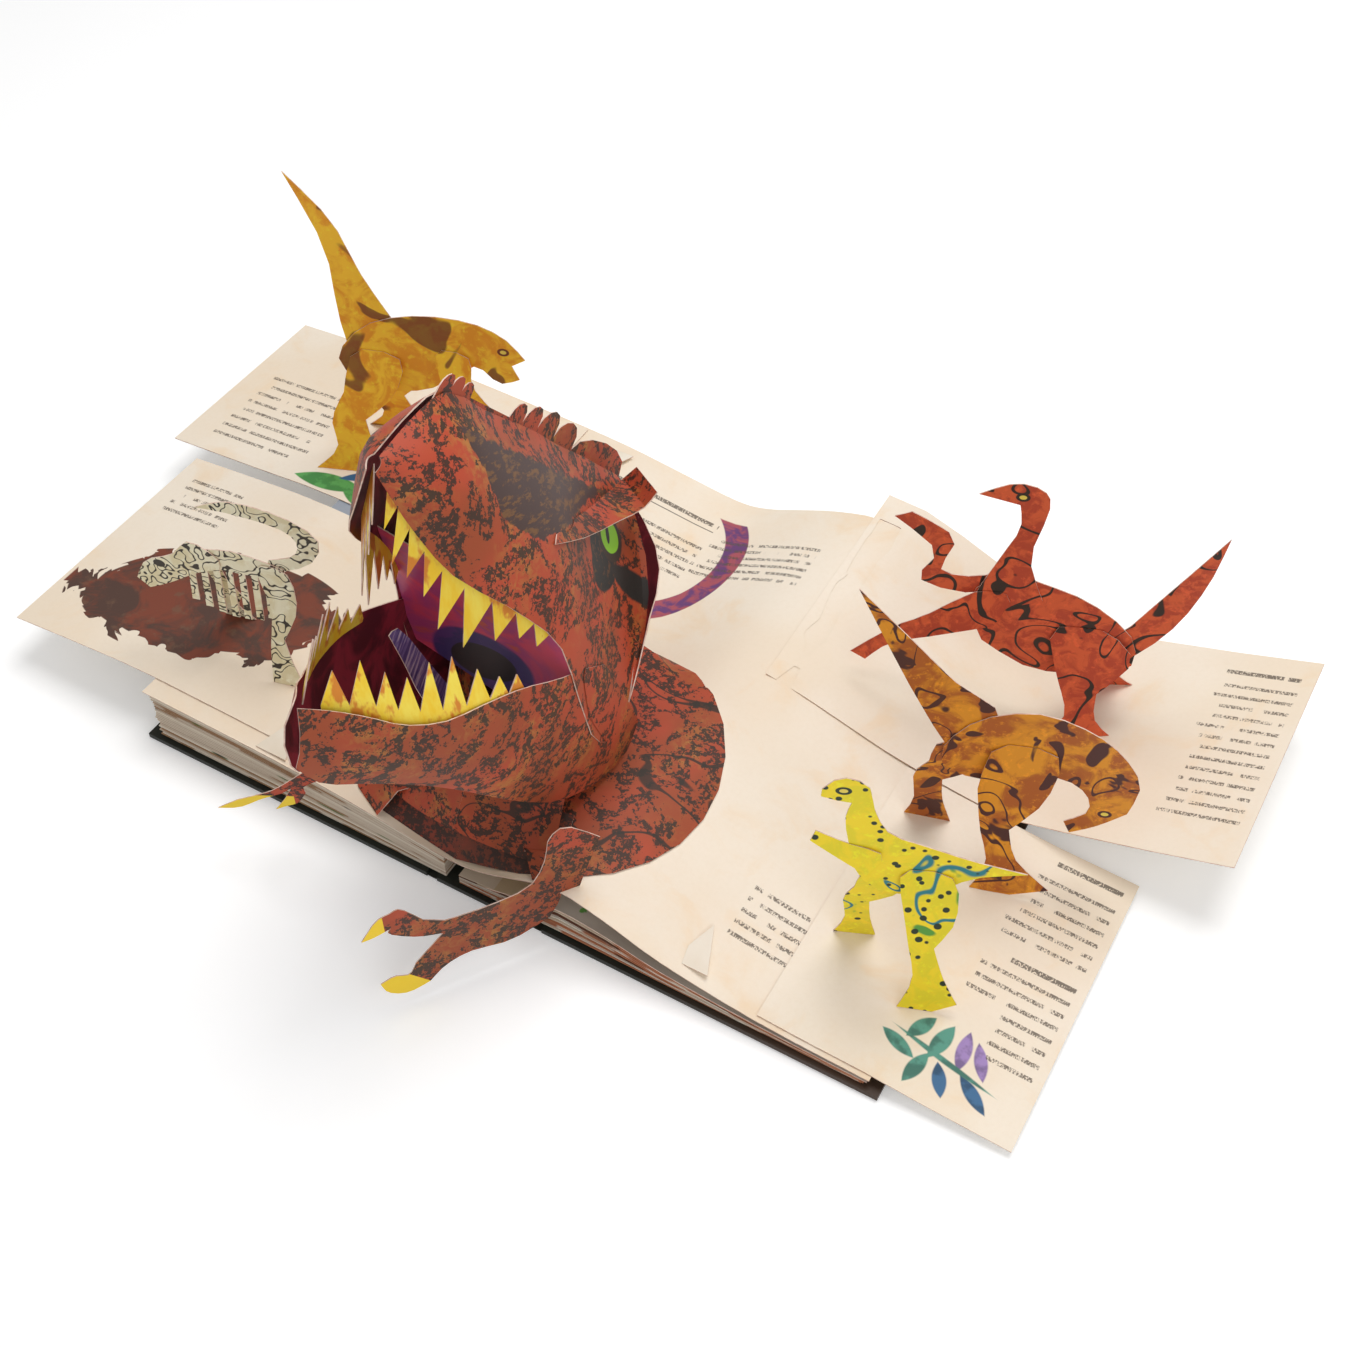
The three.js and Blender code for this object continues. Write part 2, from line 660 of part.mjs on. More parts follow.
// The fossil: a backbone with a comb of ribs, a curled tail and a long skull
function ribComb(fromU, toU, backV, depth, count) {
  const shape = new THREE.Shape();
  const step = (toU - fromU) / count;
  shape.moveTo(fromU, backV);
  shape.lineTo(fromU, backV - 9);
  for (let k = 0; k < count; k += 1) {
    const u = fromU + step * (k + 0.25);
    const reach = depth * (0.72 + 0.28 * Math.sin(Math.PI * (k + 0.5) / count));
    shape.lineTo(u, backV - 9);
    shape.lineTo(u - 3, backV - 9 - reach);
    shape.lineTo(u + step * 0.45 - 2, backV - 9 - reach);
    shape.lineTo(u + step * 0.5, backV - 9);
  }
  shape.lineTo(toU, backV - 9);
  shape.lineTo(toU, backV);
  shape.splineThru([new THREE.Vector2((fromU + toU) / 2, backV + 6), new THREE.Vector2(fromU, backV)]);
  return shape;
}
figure('fossil', 'bone', [-202.5, -102, 37.4], 15, {
  ribs: { shape: ribComb(-4, 52, 66, 34, 8) },
  skull: {
    shape: outline(
      [[16, 66], [2, 74], [-10, 62], [-26, 54], [-34, 40]],
      [-28, 34],
      [[-20, 38], [-10, 44], [2, 52], [16, 58]],
    ),
    layer: 1,
  },
  tail: {
    shape: outline(
      [[44, 62], [66, 72], [74, 90], [58, 102], [30, 106], [10, 98]],
      [[30, 98], [54, 94], [62, 86], [58, 76], [44, 70]],
    ),
    layer: -1,
  },
  near_leg: {
    shape: outline(
      [[38, 66], [54, 64], [58, 44], [50, 24]],
      [[54, 10], [60, -4]],
      [42, -4],
      [[42, 16], [44, 40], [40, 54]],
    ),
    layer: 1,
    lean: -14,
    hip: 66,
  },
  far_leg: {
    shape: outline(
      [[2, 66], [16, 64], [12, 44], [16, 24]],
      [[10, 10], [16, -4]],
      [-2, -4],
      [[2, 16], [4, 40], [0, 54]],
    ),
    layer: -1,
    lean: 16,
    hip: 66,
  },
});

figure('brick_longneck', 'brick', [203, 98, 10], 20, {
  body: {
    shape: outline(
      [[-58, 78], [-44, 98], [-20, 94], [4, 84], [26, 64], [28, 42], [6, 34], [-22, 34], [-48, 50]],
    ),
  },
  neck: {
    shape: outline(
      [[-56, 72], [-48, 106], [-40, 130], [-42, 146]],
      [-62, 150],
      [[-46, 159], [-32, 156], [-28, 144], [-32, 112], [-22, 84]],
    ),
    layer: 1,
  },
  tail: {
    shape: outline([[2, 62], [18, 64], [34, 92], [58, 138]], [[54, 106], [44, 74], [26, 48], [6, 42]]),
    layer: -1,
  },
  near_leg: {
    shape: outline(
      [[-14, 64], [10, 68], [28, 52], [14, 30]],
      [[16, 14], [30, 2]],
      [10, -4],
      [-12, -3],
      [[0, 14], [-6, 34]],
    ),
    layer: 1,
    lean: -16,
    hip: 66,
  },
  far_leg: {
    shape: outline(
      [[-2, 64], [18, 66], [30, 50], [24, 30]],
      [[28, 14], [40, 2]],
      [22, -4],
      [4, -3],
      [[12, 14], [8, 34]],
    ),
    layer: -2,
    lean: 18,
    hip: 66,
  },
  near_arm: {
    shape: outline(
      [[-38, 84], [-54, 86], [-78, 68], [-94, 58], [-114, 40]],
      [-106, 36],
      [[-94, 48], [-72, 56], [-44, 66]],
    ),
    layer: 2,
    lean: -12,
    hip: 84,
  },
  far_arm: {
    shape: outline(
      [[-34, 94], [-58, 82], [-84, 88], [-78, 108], [-100, 128]],
      [-92, 132],
      [[-70, 118], [-74, 96], [-56, 94], [-38, 104]],
    ),
    layer: -1,
    lean: 0,
  },
});

figure('umber_stalker', 'umber', [207.5, -5, 10.4], 20, {
  body: {
    shape: outline(
      [[-32, 80], [-18, 100], [6, 109], [30, 102], [48, 88], [60, 68], [58, 46]],
      [[46, 34], [34, 26]],
      [30, 34],
      [[40, 44], [36, 58], [22, 66], [2, 60], [-18, 58], [-32, 66]],
    ),
  },
  tail: {
    shape: outline(
      [[-10, 104], [-32, 122], [-56, 148], [-80, 174]],
      [[-62, 136], [-46, 104], [-28, 74], [-10, 68]],
    ),
    layer: -1,
  },
  near_leg: {
    shape: outline(
      [[-8, 84], [20, 82], [18, 56], [4, 36]],
      [[10, 18], [28, 2]],
      [10, -4],
      [-10, -3],
      [[-4, 14], [-10, 36], [-14, 58]],
    ),
    layer: 1,
    lean: -14,
    hip: 84,
  },
  far_leg: {
    shape: outline(
      [[-34, 80], [-12, 80], [-16, 58], [-30, 44]],
      [[-28, 24], [-22, 2]],
      [-36, -4],
      [-48, -3],
      [[-42, 20], [-44, 46], [-38, 60]],
    ),
    layer: -1,
    lean: 10,
    hip: 80,
  },
});

figure('lime_strider', 'lime', [207, -83.4, 9.8], 25, {
  body: {
    shape: outline(
      [[-58, 130], [-50, 142], [-38, 138], [-34, 122], [-26, 106], [-8, 98], [12, 90], [36, 83]],
      [[14, 78], [-2, 66], [-20, 62], [-36, 72], [-42, 92], [-46, 114], [-44, 126]],
    ),
  },
  near_leg: {
    shape: outline(
      [[-18, 80], [4, 78], [8, 54], [0, 36]],
      [[6, 18], [14, 2]],
      [2, -4],
      [-14, -3],
      [[-8, 16], [-12, 38], [-16, 58]],
    ),
    layer: 1,
    lean: -14,
    hip: 80,
  },
  far_leg: {
    shape: outline(
      [[-34, 76], [-16, 72], [-18, 54], [-30, 42]],
      [[-28, 22], [-24, 2]],
      [-34, -4],
      [-46, -3],
      [[-40, 20], [-42, 44], [-38, 58]],
    ),
    layer: -1,
    lean: 12,
    hip: 76,
  },
  near_arm: {
    shape: outline([[-28, 92], [-44, 98], [-58, 104]], [-60, 98], [[-46, 88], [-34, 80]]),
    layer: 1,
    lean: -12,
    hip: 96,
  },
});

export default root;
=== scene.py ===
import bpy, bmesh, math
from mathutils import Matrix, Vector


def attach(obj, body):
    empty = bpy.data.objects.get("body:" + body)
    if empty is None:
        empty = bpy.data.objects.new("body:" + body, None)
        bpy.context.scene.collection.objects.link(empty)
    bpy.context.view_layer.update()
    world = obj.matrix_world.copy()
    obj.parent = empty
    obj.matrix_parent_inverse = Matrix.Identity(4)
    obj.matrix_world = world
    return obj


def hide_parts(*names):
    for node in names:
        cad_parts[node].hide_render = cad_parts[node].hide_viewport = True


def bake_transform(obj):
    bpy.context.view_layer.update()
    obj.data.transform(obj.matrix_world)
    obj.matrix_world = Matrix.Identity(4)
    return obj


# An open pop-up book: printed card, fanned leaves and a dark case, in metres
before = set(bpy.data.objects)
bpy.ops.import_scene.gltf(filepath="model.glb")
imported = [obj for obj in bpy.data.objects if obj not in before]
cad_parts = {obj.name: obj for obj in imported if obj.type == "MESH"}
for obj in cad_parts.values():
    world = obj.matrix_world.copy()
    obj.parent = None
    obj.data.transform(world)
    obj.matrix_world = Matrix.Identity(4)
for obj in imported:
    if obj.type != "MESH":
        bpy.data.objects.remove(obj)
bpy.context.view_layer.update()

camera = {"place": (0.3272, -0.5310, 0.7262), "tilt": 41.6, "turn": 29.9, "lens": 46.95}
light = {"worldStrength": 0.46, "keyPlace": (0.10, 0.42, 1.6), "keySize": 0.9, "keyPower": 15.0,
         "fillPlace": (0.9, -0.9, 0.9), "fillSize": 1.0, "fillPower": 4.5, "floorLift": 0.21,
         "aim": (0, 0, 0.05)}
cardGloss = 0.35  # specular level of every printed card


class Wire:
    # A number on its way through a shader: an expression on wires adds the Math nodes
    def __init__(self, tree, socket):
        self.tree, self.socket = tree, socket

    def maths(self, operation, *others, clamp=False):
        values = {index: value for index, value in enumerate((self, *others))}
        node = self.tree.add("ShaderNodeMath", {"operation": operation, "use_clamp": clamp}, values)
        return Wire(self.tree, node.outputs[0])

    def __add__(self, other): return self.maths("ADD", other)
    def __sub__(self, other): return self.maths("SUBTRACT", other)
    def __mul__(self, other): return self.maths("MULTIPLY", other)
    def __truediv__(self, other): return self.maths("DIVIDE", other)
    def __gt__(self, other): return self.maths("GREATER_THAN", other)
    def __lt__(self, other): return self.maths("LESS_THAN", other)
    def __radd__(self, other): return self + other
    def __rmul__(self, other): return self * other

    def __rsub__(self, other):
        node = self.tree.add("ShaderNodeMath", {"operation": "SUBTRACT"}, {0: other, 1: self})
        return Wire(self.tree, node.outputs[0])

    def size(self): return self.maths("ABSOLUTE")
    def floor(self): return self.maths("FLOOR")
    def part(self): return self.maths("FRACT")
    def clamp(self): return self.maths("ADD", 0.0, clamp=True)
    def most(self, other): return self.maths("MAXIMUM", other)
    def least(self, other): return self.maths("MINIMUM", other)


class Tree:
    # One material's nodes
    def __init__(self, name):
        self.material = bpy.data.materials.new(name)
        self.material.use_nodes = True
        self.nodes, self.links = self.material.node_tree.nodes, self.material.node_tree.links
        self.shader = self.nodes["Principled BSDF"]
        self.place = self.add("ShaderNodeTexCoord").outputs["Object"]

    def add(self, kind, settings=None, values=None):
        node = self.nodes.new(kind)
        for key, setting in (settings or {}).items():
            setattr(node, key, setting)
        for key, value in (values or {}).items():
            socket = node.inputs[key]
            if isinstance(value, Wire):
                self.links.new(value.socket, socket)
            elif isinstance(value, bpy.types.NodeSocket):
                self.links.new(value, socket)
            else:
                socket.default_value = value
        return node

    def axes(self):
        # The place in millimetres
        split = self.add("ShaderNodeSeparateXYZ", None, {0: self.place})
        return [Wire(self, output) * 1000.0 for output in split.outputs]

    def vector(self, x, y, z):
        return self.add("ShaderNodeCombineXYZ", None, {0: x, 1: y, 2: z}).outputs[0]

    def noise(self, scale, detail=4.0, rough=0.55, at=None, warp=0.0):
        values = {"Vector": at or self.place, "Scale": scale, "Detail": detail, "Roughness": rough,
                  "Distortion": warp}
        return Wire(self, self.add("ShaderNodeTexNoise", None, values).outputs["Fac"])

    def chance(self, number):
        # The same random value, 0 to 1, wherever the number is the same
        node = self.add("ShaderNodeTexWhiteNoise", {"noise_dimensions": "1D"}, {"W": number})
        return Wire(self, node.outputs["Value"])

    def step(self, value, low, high):
        node = self.add("ShaderNodeMapRange", {"interpolation_type": "SMOOTHSTEP"},
                        {"Value": value, "From Min": low, "From Max": high})
        return Wire(self, node.outputs["Result"])

    def mix(self, mask, below, above):
        node = self.add("ShaderNodeMix", {"data_type": "RGBA"}, {"Factor": mask})
        for socket, color in ((node.inputs[6], below), (node.inputs[7], above)):
            if isinstance(color, bpy.types.NodeSocket):
                self.links.new(color, socket)
            else:
                socket.default_value = (*color, 1.0)
        return node.outputs[2]

    def finish(self, color, roughness, height=None, bump=0.15, reach=0.0004):
        self.links.new(color, self.shader.inputs["Base Color"])
        if isinstance(roughness, Wire):
            self.links.new(roughness.socket, self.shader.inputs["Roughness"])
        else:
            self.shader.inputs["Roughness"].default_value = roughness
        self.shader.inputs["Specular IOR Level"].default_value = cardGloss
        if height is not None:
            node = self.add("ShaderNodeBump", None, {"Strength": bump, "Distance": reach, "Height": height})
            self.links.new(node.outputs[0], self.shader.inputs["Normal"])
        return self.material


def turned(u, v, centre, degrees):
    # Coordinates about a centre, turned on the page
    cosine, sine = math.cos(math.radians(degrees)), math.sin(math.radians(degrees))
    du, dv = u - centre[0], v - centre[1]
    return du * cosine + dv * sine, dv * cosine - du * sine


def oval(tree, u, v, centre, radii, degrees, soft):
    a, b = turned(u, v, centre, degrees)
    a, b = a / radii[0], b / radii[1]
    return tree.step(a * a + b * b, 1.0 + soft, 1.0 - soft)


def leafShape(tree, u, v, centre, half, degrees, soft=0.5):
    # A pointed leaf, by half its length and half its width
    a, b = turned(u, v, centre, degrees)
    a = a / half[0]
    return tree.step((1.0 - a * a) * half[1] - b.size(), -soft, soft)


def band(tree, value, low, high, soft):
    return tree.step(value, low - soft, low + soft) * tree.step(value, high + soft, high - soft)


# Printed pages; places on the paper are in millimetres
parchmentLook = {"pale": (0.86, 0.73, 0.575), "peach": (0.86, 0.64, 0.41), "cream": (0.89, 0.79, 0.66),
                 "fibre": (0.74, 0.60, 0.42), "ink": (0.10, 0.075, 0.055), "inkStrength": 0.86}

# Rows of word-like dashes: right or left end, first row, width, rows, row pitch, and the side they line up on
textBlocks = {
    "spread": [
        {"end": -19, "top": 103, "width": 86, "rows": 5, "pitch": 6.4, "side": 1},
        {"end": 50, "top": 114, "width": 70, "rows": 6, "pitch": 5.9, "side": 1},
        {"end": 118, "top": -88, "width": 54, "rows": 5, "pitch": 6.9, "side": -1},
    ],
    "foldout": [
        {"end": 310, "top": 142, "width": 40, "rows": 13, "pitch": 7.9, "side": 1},
        {"end": 273, "top": -3, "width": 46, "rows": 6, "pitch": 7.7, "side": 1},
        {"end": 273, "top": -63, "width": 52, "rows": 3, "pitch": 7.6, "side": 1},
        {"end": 273, "top": -86, "width": 28, "rows": 4, "pitch": 7.6, "side": 1},
        {"end": -319, "top": 94, "width": 67, "rows": 8, "pitch": 8.2, "side": -1},
        {"end": -300, "top": -5, "width": 46, "rows": 5, "pitch": 6.6, "side": -1},
    ],
}
headings = {
    "spread": [{"end": -19, "top": 123.5, "width": 88, "rows": 1, "pitch": 7.0, "side": 1, "bold": 1}],
    "foldout": [
        {"end": 309, "top": 153, "width": 37, "rows": 1, "pitch": 7.0, "side": 1, "bold": 1},
        {"end": 273, "top": 9, "width": 35, "rows": 1, "pitch": 7.0, "side": 1, "bold": 1},
        {"end": 273, "top": -54.5, "width": 38, "rows": 1, "pitch": 7.0, "side": 1, "bold": 1},
    ],
}


# The rows are broken by noise into words and letter-sized marks; a heading's are taller and denser
dashLook = {"ascent": 1.4, "ragged": 0.18, "letterScale": 0.95}
plainRow = {"wordScale": 0.15, "top": 3.0, "solid": 0.56}
boldRow = {"wordScale": 0.115, "top": 3.6, "solid": 0.46}


def textMask(tree, x, y, blocks):
    total = None
    for index, block in enumerate(blocks):
        look = boldRow if "bold" in block else plainRow
        down = (block["top"] + dashLook["ascent"] - y) / block["pitch"]
        row = down.floor()
        inRow = down.part() * block["pitch"]
        along = (block["end"] - x) if block["side"] > 0 else (x - block["end"])
        ragged = block["width"] * (1.0 - dashLook["ragged"] * tree.chance(row + 3.7 * index))
        inside = tree.step(along, -0.2, 0.3) * (along < ragged) * (down > 0.0) * (down < float(block["rows"]))
        wordPlace = tree.vector(x + row * 37.0, row * 11.0, 0.0)
        letterPlace = tree.vector(x * 1.5 + row * 53.0, inRow * 0.9, 9.0)
        word = tree.noise(look["wordScale"], 1.0, 0.4, at=wordPlace)
        letter = tree.noise(dashLook["letterScale"], 2.0, 0.6, at=letterPlace)
        height = tree.step(inRow, 0.3, 0.6) * tree.step(inRow, look["top"], look["top"] - 0.4)
        dash = height * tree.step(word, 0.64, 0.60) * tree.step(letter, 0.40, look["solid"])
        printed = inside * dash
        total = printed if total is None else total.most(printed)
    return total


curvedBand = {"centre": (-62.0, 92.0), "stretch": 1.15, "inner": 57.5, "outer": 71.0, "left": -45.0, "top": 131.0,
              "inks": ((0.40, 0.085, 0.11), (0.14, 0.05, 0.17))}
headingRule = {"low": 117.6, "high": 118.3, "left": -108.0, "right": -20.0}
foldStrip = {"low": 9.0, "high": 24.0, "right": -122.0, "ink": (0.33, 0.37, 0.43)}
pageEdge = {"halfWidth": 150.0, "halfDepth": 95.0, "fade": 55.0}
rockPatch = {"oval": ((-224.0, -82.0), (80.0, 38.0), 14.0, 0.012),
             "chunks": 9.0, "middle": 0.45, "swayAcross": 44.0, "swayAlong": 36.0, "left": -310.0, "right": -100.0,
             "inks": ((0.085, 0.042, 0.030), (0.20, 0.050, 0.026)), "grit": (0.16, 0.085, 0.05)}
# A leaf is its centre, half its length and half its width, and its turn in degrees
broadLeaves = {"green": (((-226.0, 29.0), (23.0, 6.5), 8.0), ((-206.0, 27.0), (17.0, 5.0), -28.0)),
               "greenInks": ((0.06, 0.25, 0.06), (0.10, 0.36, 0.09)),
               "blue": ((-211.0, 42.0), (14.0, 3.6), 34.0), "blueInk": (0.03, 0.12, 0.26)}
sprigInks = {"teal": (0.10, 0.32, 0.25), "blue": (0.05, 0.15, 0.30), "lilac": (0.36, 0.24, 0.52)}
sprigShade = 0.55
sprigLeaves = [
    ((218, -111), (9, 3.6), 62, sprigInks["teal"]), ((229, -113), (11, 4.0), 78, sprigInks["teal"]),
    ((240, -112), (11, 3.6), 96, sprigInks["lilac"]), ((249, -113), (10, 3.2), 118, sprigInks["lilac"]),
    ((212, -124), (10, 3.4), -20, sprigInks["teal"]), ((236, -131), (9, 3.4), -62, sprigInks["blue"]),
    ((224, -131), (10, 3.6), -104, sprigInks["teal"]), ((252, -130), (11, 3.4), -36, sprigInks["blue"]),
    ((234, -121), (27, 1.5), -10, sprigInks["teal"]),
]


def spreadMotifs(tree, x, y, color, blot):
    # Peach towards the page's edges, then the curved band and the grey strip
    edge = (x.size() - pageEdge["halfWidth"]).most((y.size() - pageEdge["halfDepth"])) / pageEdge["fade"]
    color = tree.mix(edge.clamp() * tree.step(blot, 0.3, 0.7) * 0.35, color, parchmentLook["peach"])
    across, along = x - curvedBand["centre"][0], y - curvedBand["centre"][1]
    far = (across * across + along * along * curvedBand["stretch"]).maths("SQRT")
    ring = band(tree, far, curvedBand["inner"], curvedBand["outer"], 0.4)
    ring = ring * tree.step(x, curvedBand["left"], curvedBand["left"] + 1.0)
    ring = ring * tree.step(y, curvedBand["top"], curvedBand["top"] - 1.0)
    inkCloud = tree.noise(70.0, 4.0, 0.6, warp=1.0)
    color = tree.mix(ring, color, tree.mix(tree.step(inkCloud, 0.42, 0.58), *curvedBand["inks"]))
    strip = band(tree, y, foldStrip["low"], foldStrip["high"], 0.3)
    strip = strip * tree.step(x, foldStrip["right"], foldStrip["right"] - 2.0)
    return tree.mix(strip, color, foldStrip["ink"])


def foldoutMotifs(tree, x, y, color):
    # Rock round the fossil, with chunky edges
    chunk = (tree.noise(46.0, 1.0, 0.4) * rockPatch["chunks"]).floor() / rockPatch["chunks"]
    chunkAlong = (tree.noise(60.0, 1.0, 0.4, warp=0.3) * rockPatch["chunks"]).floor() / rockPatch["chunks"]
    chunkU = x + (chunk - rockPatch["middle"]) * rockPatch["swayAcross"]
    chunkV = y + (chunkAlong - rockPatch["middle"]) * rockPatch["swayAlong"]
    rock = oval(tree, chunkU, chunkV, *rockPatch["oval"])
    rock = rock * tree.step(x, rockPatch["left"], rockPatch["left"] + 1.0) * (x < rockPatch["right"])
    veins = tree.step(tree.noise(44.0, 5.0, 0.65, warp=0.8), 0.42, 0.60)
    grit = tree.step(tree.noise(120.0, 4.0, 0.6), 0.55, 0.7) * 0.6
    rockInk = tree.mix(grit, tree.mix(veins, *rockPatch["inks"]), rockPatch["grit"])
    color = tree.mix(rock, color, rockInk)
    # Broad green and blue leaves by the left gutter of the fold-outs
    nearLeaf, farLeaf = (leafShape(tree, x, y, *leaf) for leaf in broadLeaves["green"])
    greenInk = tree.mix(tree.step(tree.noise(90.0), 0.45, 0.55), *broadLeaves["greenInks"])
    color = tree.mix(nearLeaf.most(farLeaf), color, greenInk)
    color = tree.mix(leafShape(tree, x, y, *broadLeaves["blue"]), color, broadLeaves["blueInk"])
    # A fern sprig with a fan of lilac petals on the lower right fold-out
    for centre, half, turn, ink in sprigLeaves:
        leaf = leafShape(tree, x, y, centre, half, turn)
        shade = tree.mix(tree.step(tree.noise(110.0, 3.0), 0.42, 0.6), ink, tuple(sprigShade * c for c in ink))
        color = tree.mix(leaf, color, shade)
    return color


def parchment(name, kind):
    tree = Tree(name)
    x, y, _ = tree.axes()
    cloud = tree.noise(9.0, 3.0, 0.5)
    blot = tree.noise(26.0, 5.0, 0.6, warp=0.6)
    fibre = tree.noise(420.0, 3.0, 0.6)
    color = tree.mix(tree.step(cloud, 0.36, 0.66), parchmentLook["pale"], parchmentLook["cream"])
    color = tree.mix(tree.step(blot, 0.52, 0.72) * 0.5, color, parchmentLook["peach"])
    color = tree.mix(tree.step(fibre, 0.35, 0.75) * 0.10, color, parchmentLook["fibre"])
    words = textMask(tree, x, y, textBlocks[kind] + headings[kind])
    if kind == "spread":
        color = spreadMotifs(tree, x, y, color, blot)
        rule = band(tree, y, headingRule["low"], headingRule["high"], 0.1)
        words = words.most(rule * band(tree, x, headingRule["left"], headingRule["right"], 0.3))
    else:
        color = foldoutMotifs(tree, x, y, color)
    color = tree.mix(words * parchmentLook["inkStrength"], color, parchmentLook["ink"])
    return tree.finish(color, 0.62, fibre, 0.10, 0.0003)


# Marbled hide: red card with dark sponge marks, ochre flecks, and broad dark patches
hideLook = {"red": (0.46, 0.064, 0.026), "rust": (0.33, 0.064, 0.020), "dark": (0.030, 0.021, 0.014),
            "ochre": (0.44, 0.20, 0.04), "patch": (0.062, 0.032, 0.027)}
headFrame = {"hingeY": -105.0, "hingeZ": 150.0, "tilt": 69.0}

# The head's print, in millimetres along the upper jaw and out from it. An edge is a place along, the level
# there, its slope and the side that is inside; an oval is its centre, radii, turn and softness
headPrint = {
    "snoutEdges": ((122.0, 36.0, -0.376, -1.0), (-11.0, 83.0, -0.763, 1.0), (65.0, 25.0, -0.26, 1.0),
                   (92.0, 18.0, 0.47, 1.0)),
    "snoutStreak": (0.17, 0.075, 0.025),
    "socket": ((-14.0, 58.0), (20.0, 15.0), -40.0, 0.08),
    "socketInks": ((0.022, 0.020, 0.018), (0.12, 0.05, 0.02)),
    "jowl": ((-50.0, 62.0), (27.0, 6.5), -12.0, 0.8),
    "jowlInk": (0.030, 0.024, 0.020),
    "eye": ((((-23.5, 70.0), (15.0, 10.0), -24.0, 0.08), (0.045, 0.026, 0.016)),
            (((-23.0, 70.5), (11.5, 7.0), -24.0, 0.06), (0.28, 0.62, 0.03)),
            (((-21.0, 70.5), (2.4, 4.0), -20.0, 0.15), (0.012, 0.012, 0.010))),
}
nearClaws = {"upperReach": -218.5, "split": 42.0, "lowerReach": -203.0, "lowerStart": -205.0, "lowerLevel": 11.0,
             "lowerSlope": -1.58, "ink": (0.95, 0.66, 0.03)}
farClaws = {"upperReach": -124.0, "lowerReach": -98.5, "split": 40.0, "ink": (0.93, 0.66, 0.04)}
# Near-black painted shade for the lower chest plate, which sits in the shade under the jaw
chestPaintedShade = (0.055, 0.026, 0.020)


def hideColor(tree, darkness):
    # Thin broken marks lie along the contours of a broad noise, and speckles break them up
    broad = tree.noise(44.0, 5.0, 0.66, warp=0.4)
    speck = tree.noise(620.0, 3.0, 0.75)
    fleck = tree.noise(230.0, 4.0, 0.7, warp=0.4)
    color = tree.mix(tree.step(tree.noise(17.0, 3.0), 0.40, 0.64), hideLook["red"], hideLook["rust"])
    ochre = tree.step(tree.noise(31.0, 3.0, 0.6), 0.46, 0.70) * tree.step(fleck, 0.40, 0.60)
    color = tree.mix(ochre * 0.75, color, hideLook["ochre"])
    vein = 1.0 - (broad - 0.5).size() * (17.0 - 10.0 * darkness)
    marks = tree.step(vein + (speck - 0.5) * 2.8 + (fleck - 0.5) * 3.2, 0.50, 0.74)
    color = tree.mix(marks * 0.92, color, hideLook["dark"])
    return color, speck, fleck


def insideEdges(along, out, edges):
    inside = None
    for start, level, slope, side in edges:
        gap = (out - level - (along - start) * slope) * side
        inside = gap if inside is None else inside.least(gap)
    return inside


def headMotifs(tree, x, y, z, color, fleck):
    # The snout's dark patch, the eye socket, the jowl and the eye
    along, inward = turned(y - headFrame["hingeY"], z - headFrame["hingeZ"], (0.0, 0.0), 180.0 - headFrame["tilt"])
    out = 0.0 - inward
    wobble = (tree.noise(60.0, 2.0) - 0.5) * 9.0
    ragged = (tree.noise(150.0, 3.0) - 0.5) * 7.0
    snout = tree.step(insideEdges(along, out, headPrint["snoutEdges"]) + ragged, -0.5, 0.5)
    streakPlace = tree.vector(x * 0.25, (along + out) * 0.20, (along - out) * 0.05)
    streak = tree.step(tree.noise(1.0, 4.0, 0.7, at=streakPlace), 0.5, 0.62)
    color = tree.mix(snout, color, tree.mix(streak, hideLook["patch"], headPrint["snoutStreak"]))
    socket = oval(tree, along + wobble * 0.7, out, *headPrint["socket"])
    color = tree.mix(socket, color, tree.mix(tree.step(fleck, 0.55, 0.62), *headPrint["socketInks"]))
    jowl = leafShape(tree, along, out + ragged * 0.4, *headPrint["jowl"])
    color = tree.mix(jowl, color, headPrint["jowlInk"])
    for shape, ink in headPrint["eye"]:
        color = tree.mix(oval(tree, along, out, *shape), color, ink)
    return color


def hide(name, kind, darkness):
    tree = Tree(name)
    x, y, z = tree.axes()
    color, speck, fleck = hideColor(tree, darkness)
    if kind == "head":
        color = headMotifs(tree, x, y, z, color, fleck)
    if kind == "arm":
        upperClaw = (y < nearClaws["upperReach"]) * (z > nearClaws["split"])
        lowerTop = (y - nearClaws["lowerStart"]) * nearClaws["lowerSlope"] + nearClaws["lowerLevel"]
        lowerClaw = (z < lowerTop) * (z < nearClaws["split"]) * (y < nearClaws["lowerReach"])
        color = tree.mix(upperClaw.most(lowerClaw), color, nearClaws["ink"])
    if kind == "farArm":
        lowerClaw = (x < farClaws["lowerReach"]) * (z < farClaws["split"])
        color = tree.mix((x < farClaws["upperReach"]).most(lowerClaw), color, farClaws["ink"])
    # The lower chest plate is darkened by about 62 % towards near-black: painted shade under the head
    if kind == "chest":
        color = tree.mix(0.62 + (fleck - 0.5) * 0.8, color, chestPaintedShade)
    if kind == "body":
        shadowMark = band(tree, tree.noise(20.0, 1.0, 0.4, warp=1.2), 0.575, 0.60, 0.004)
        color = tree.mix(shadowMark * 0.9, color, hideLook["dark"])
    return tree.finish(color, 0.58, speck, 0.12, 0.0003)


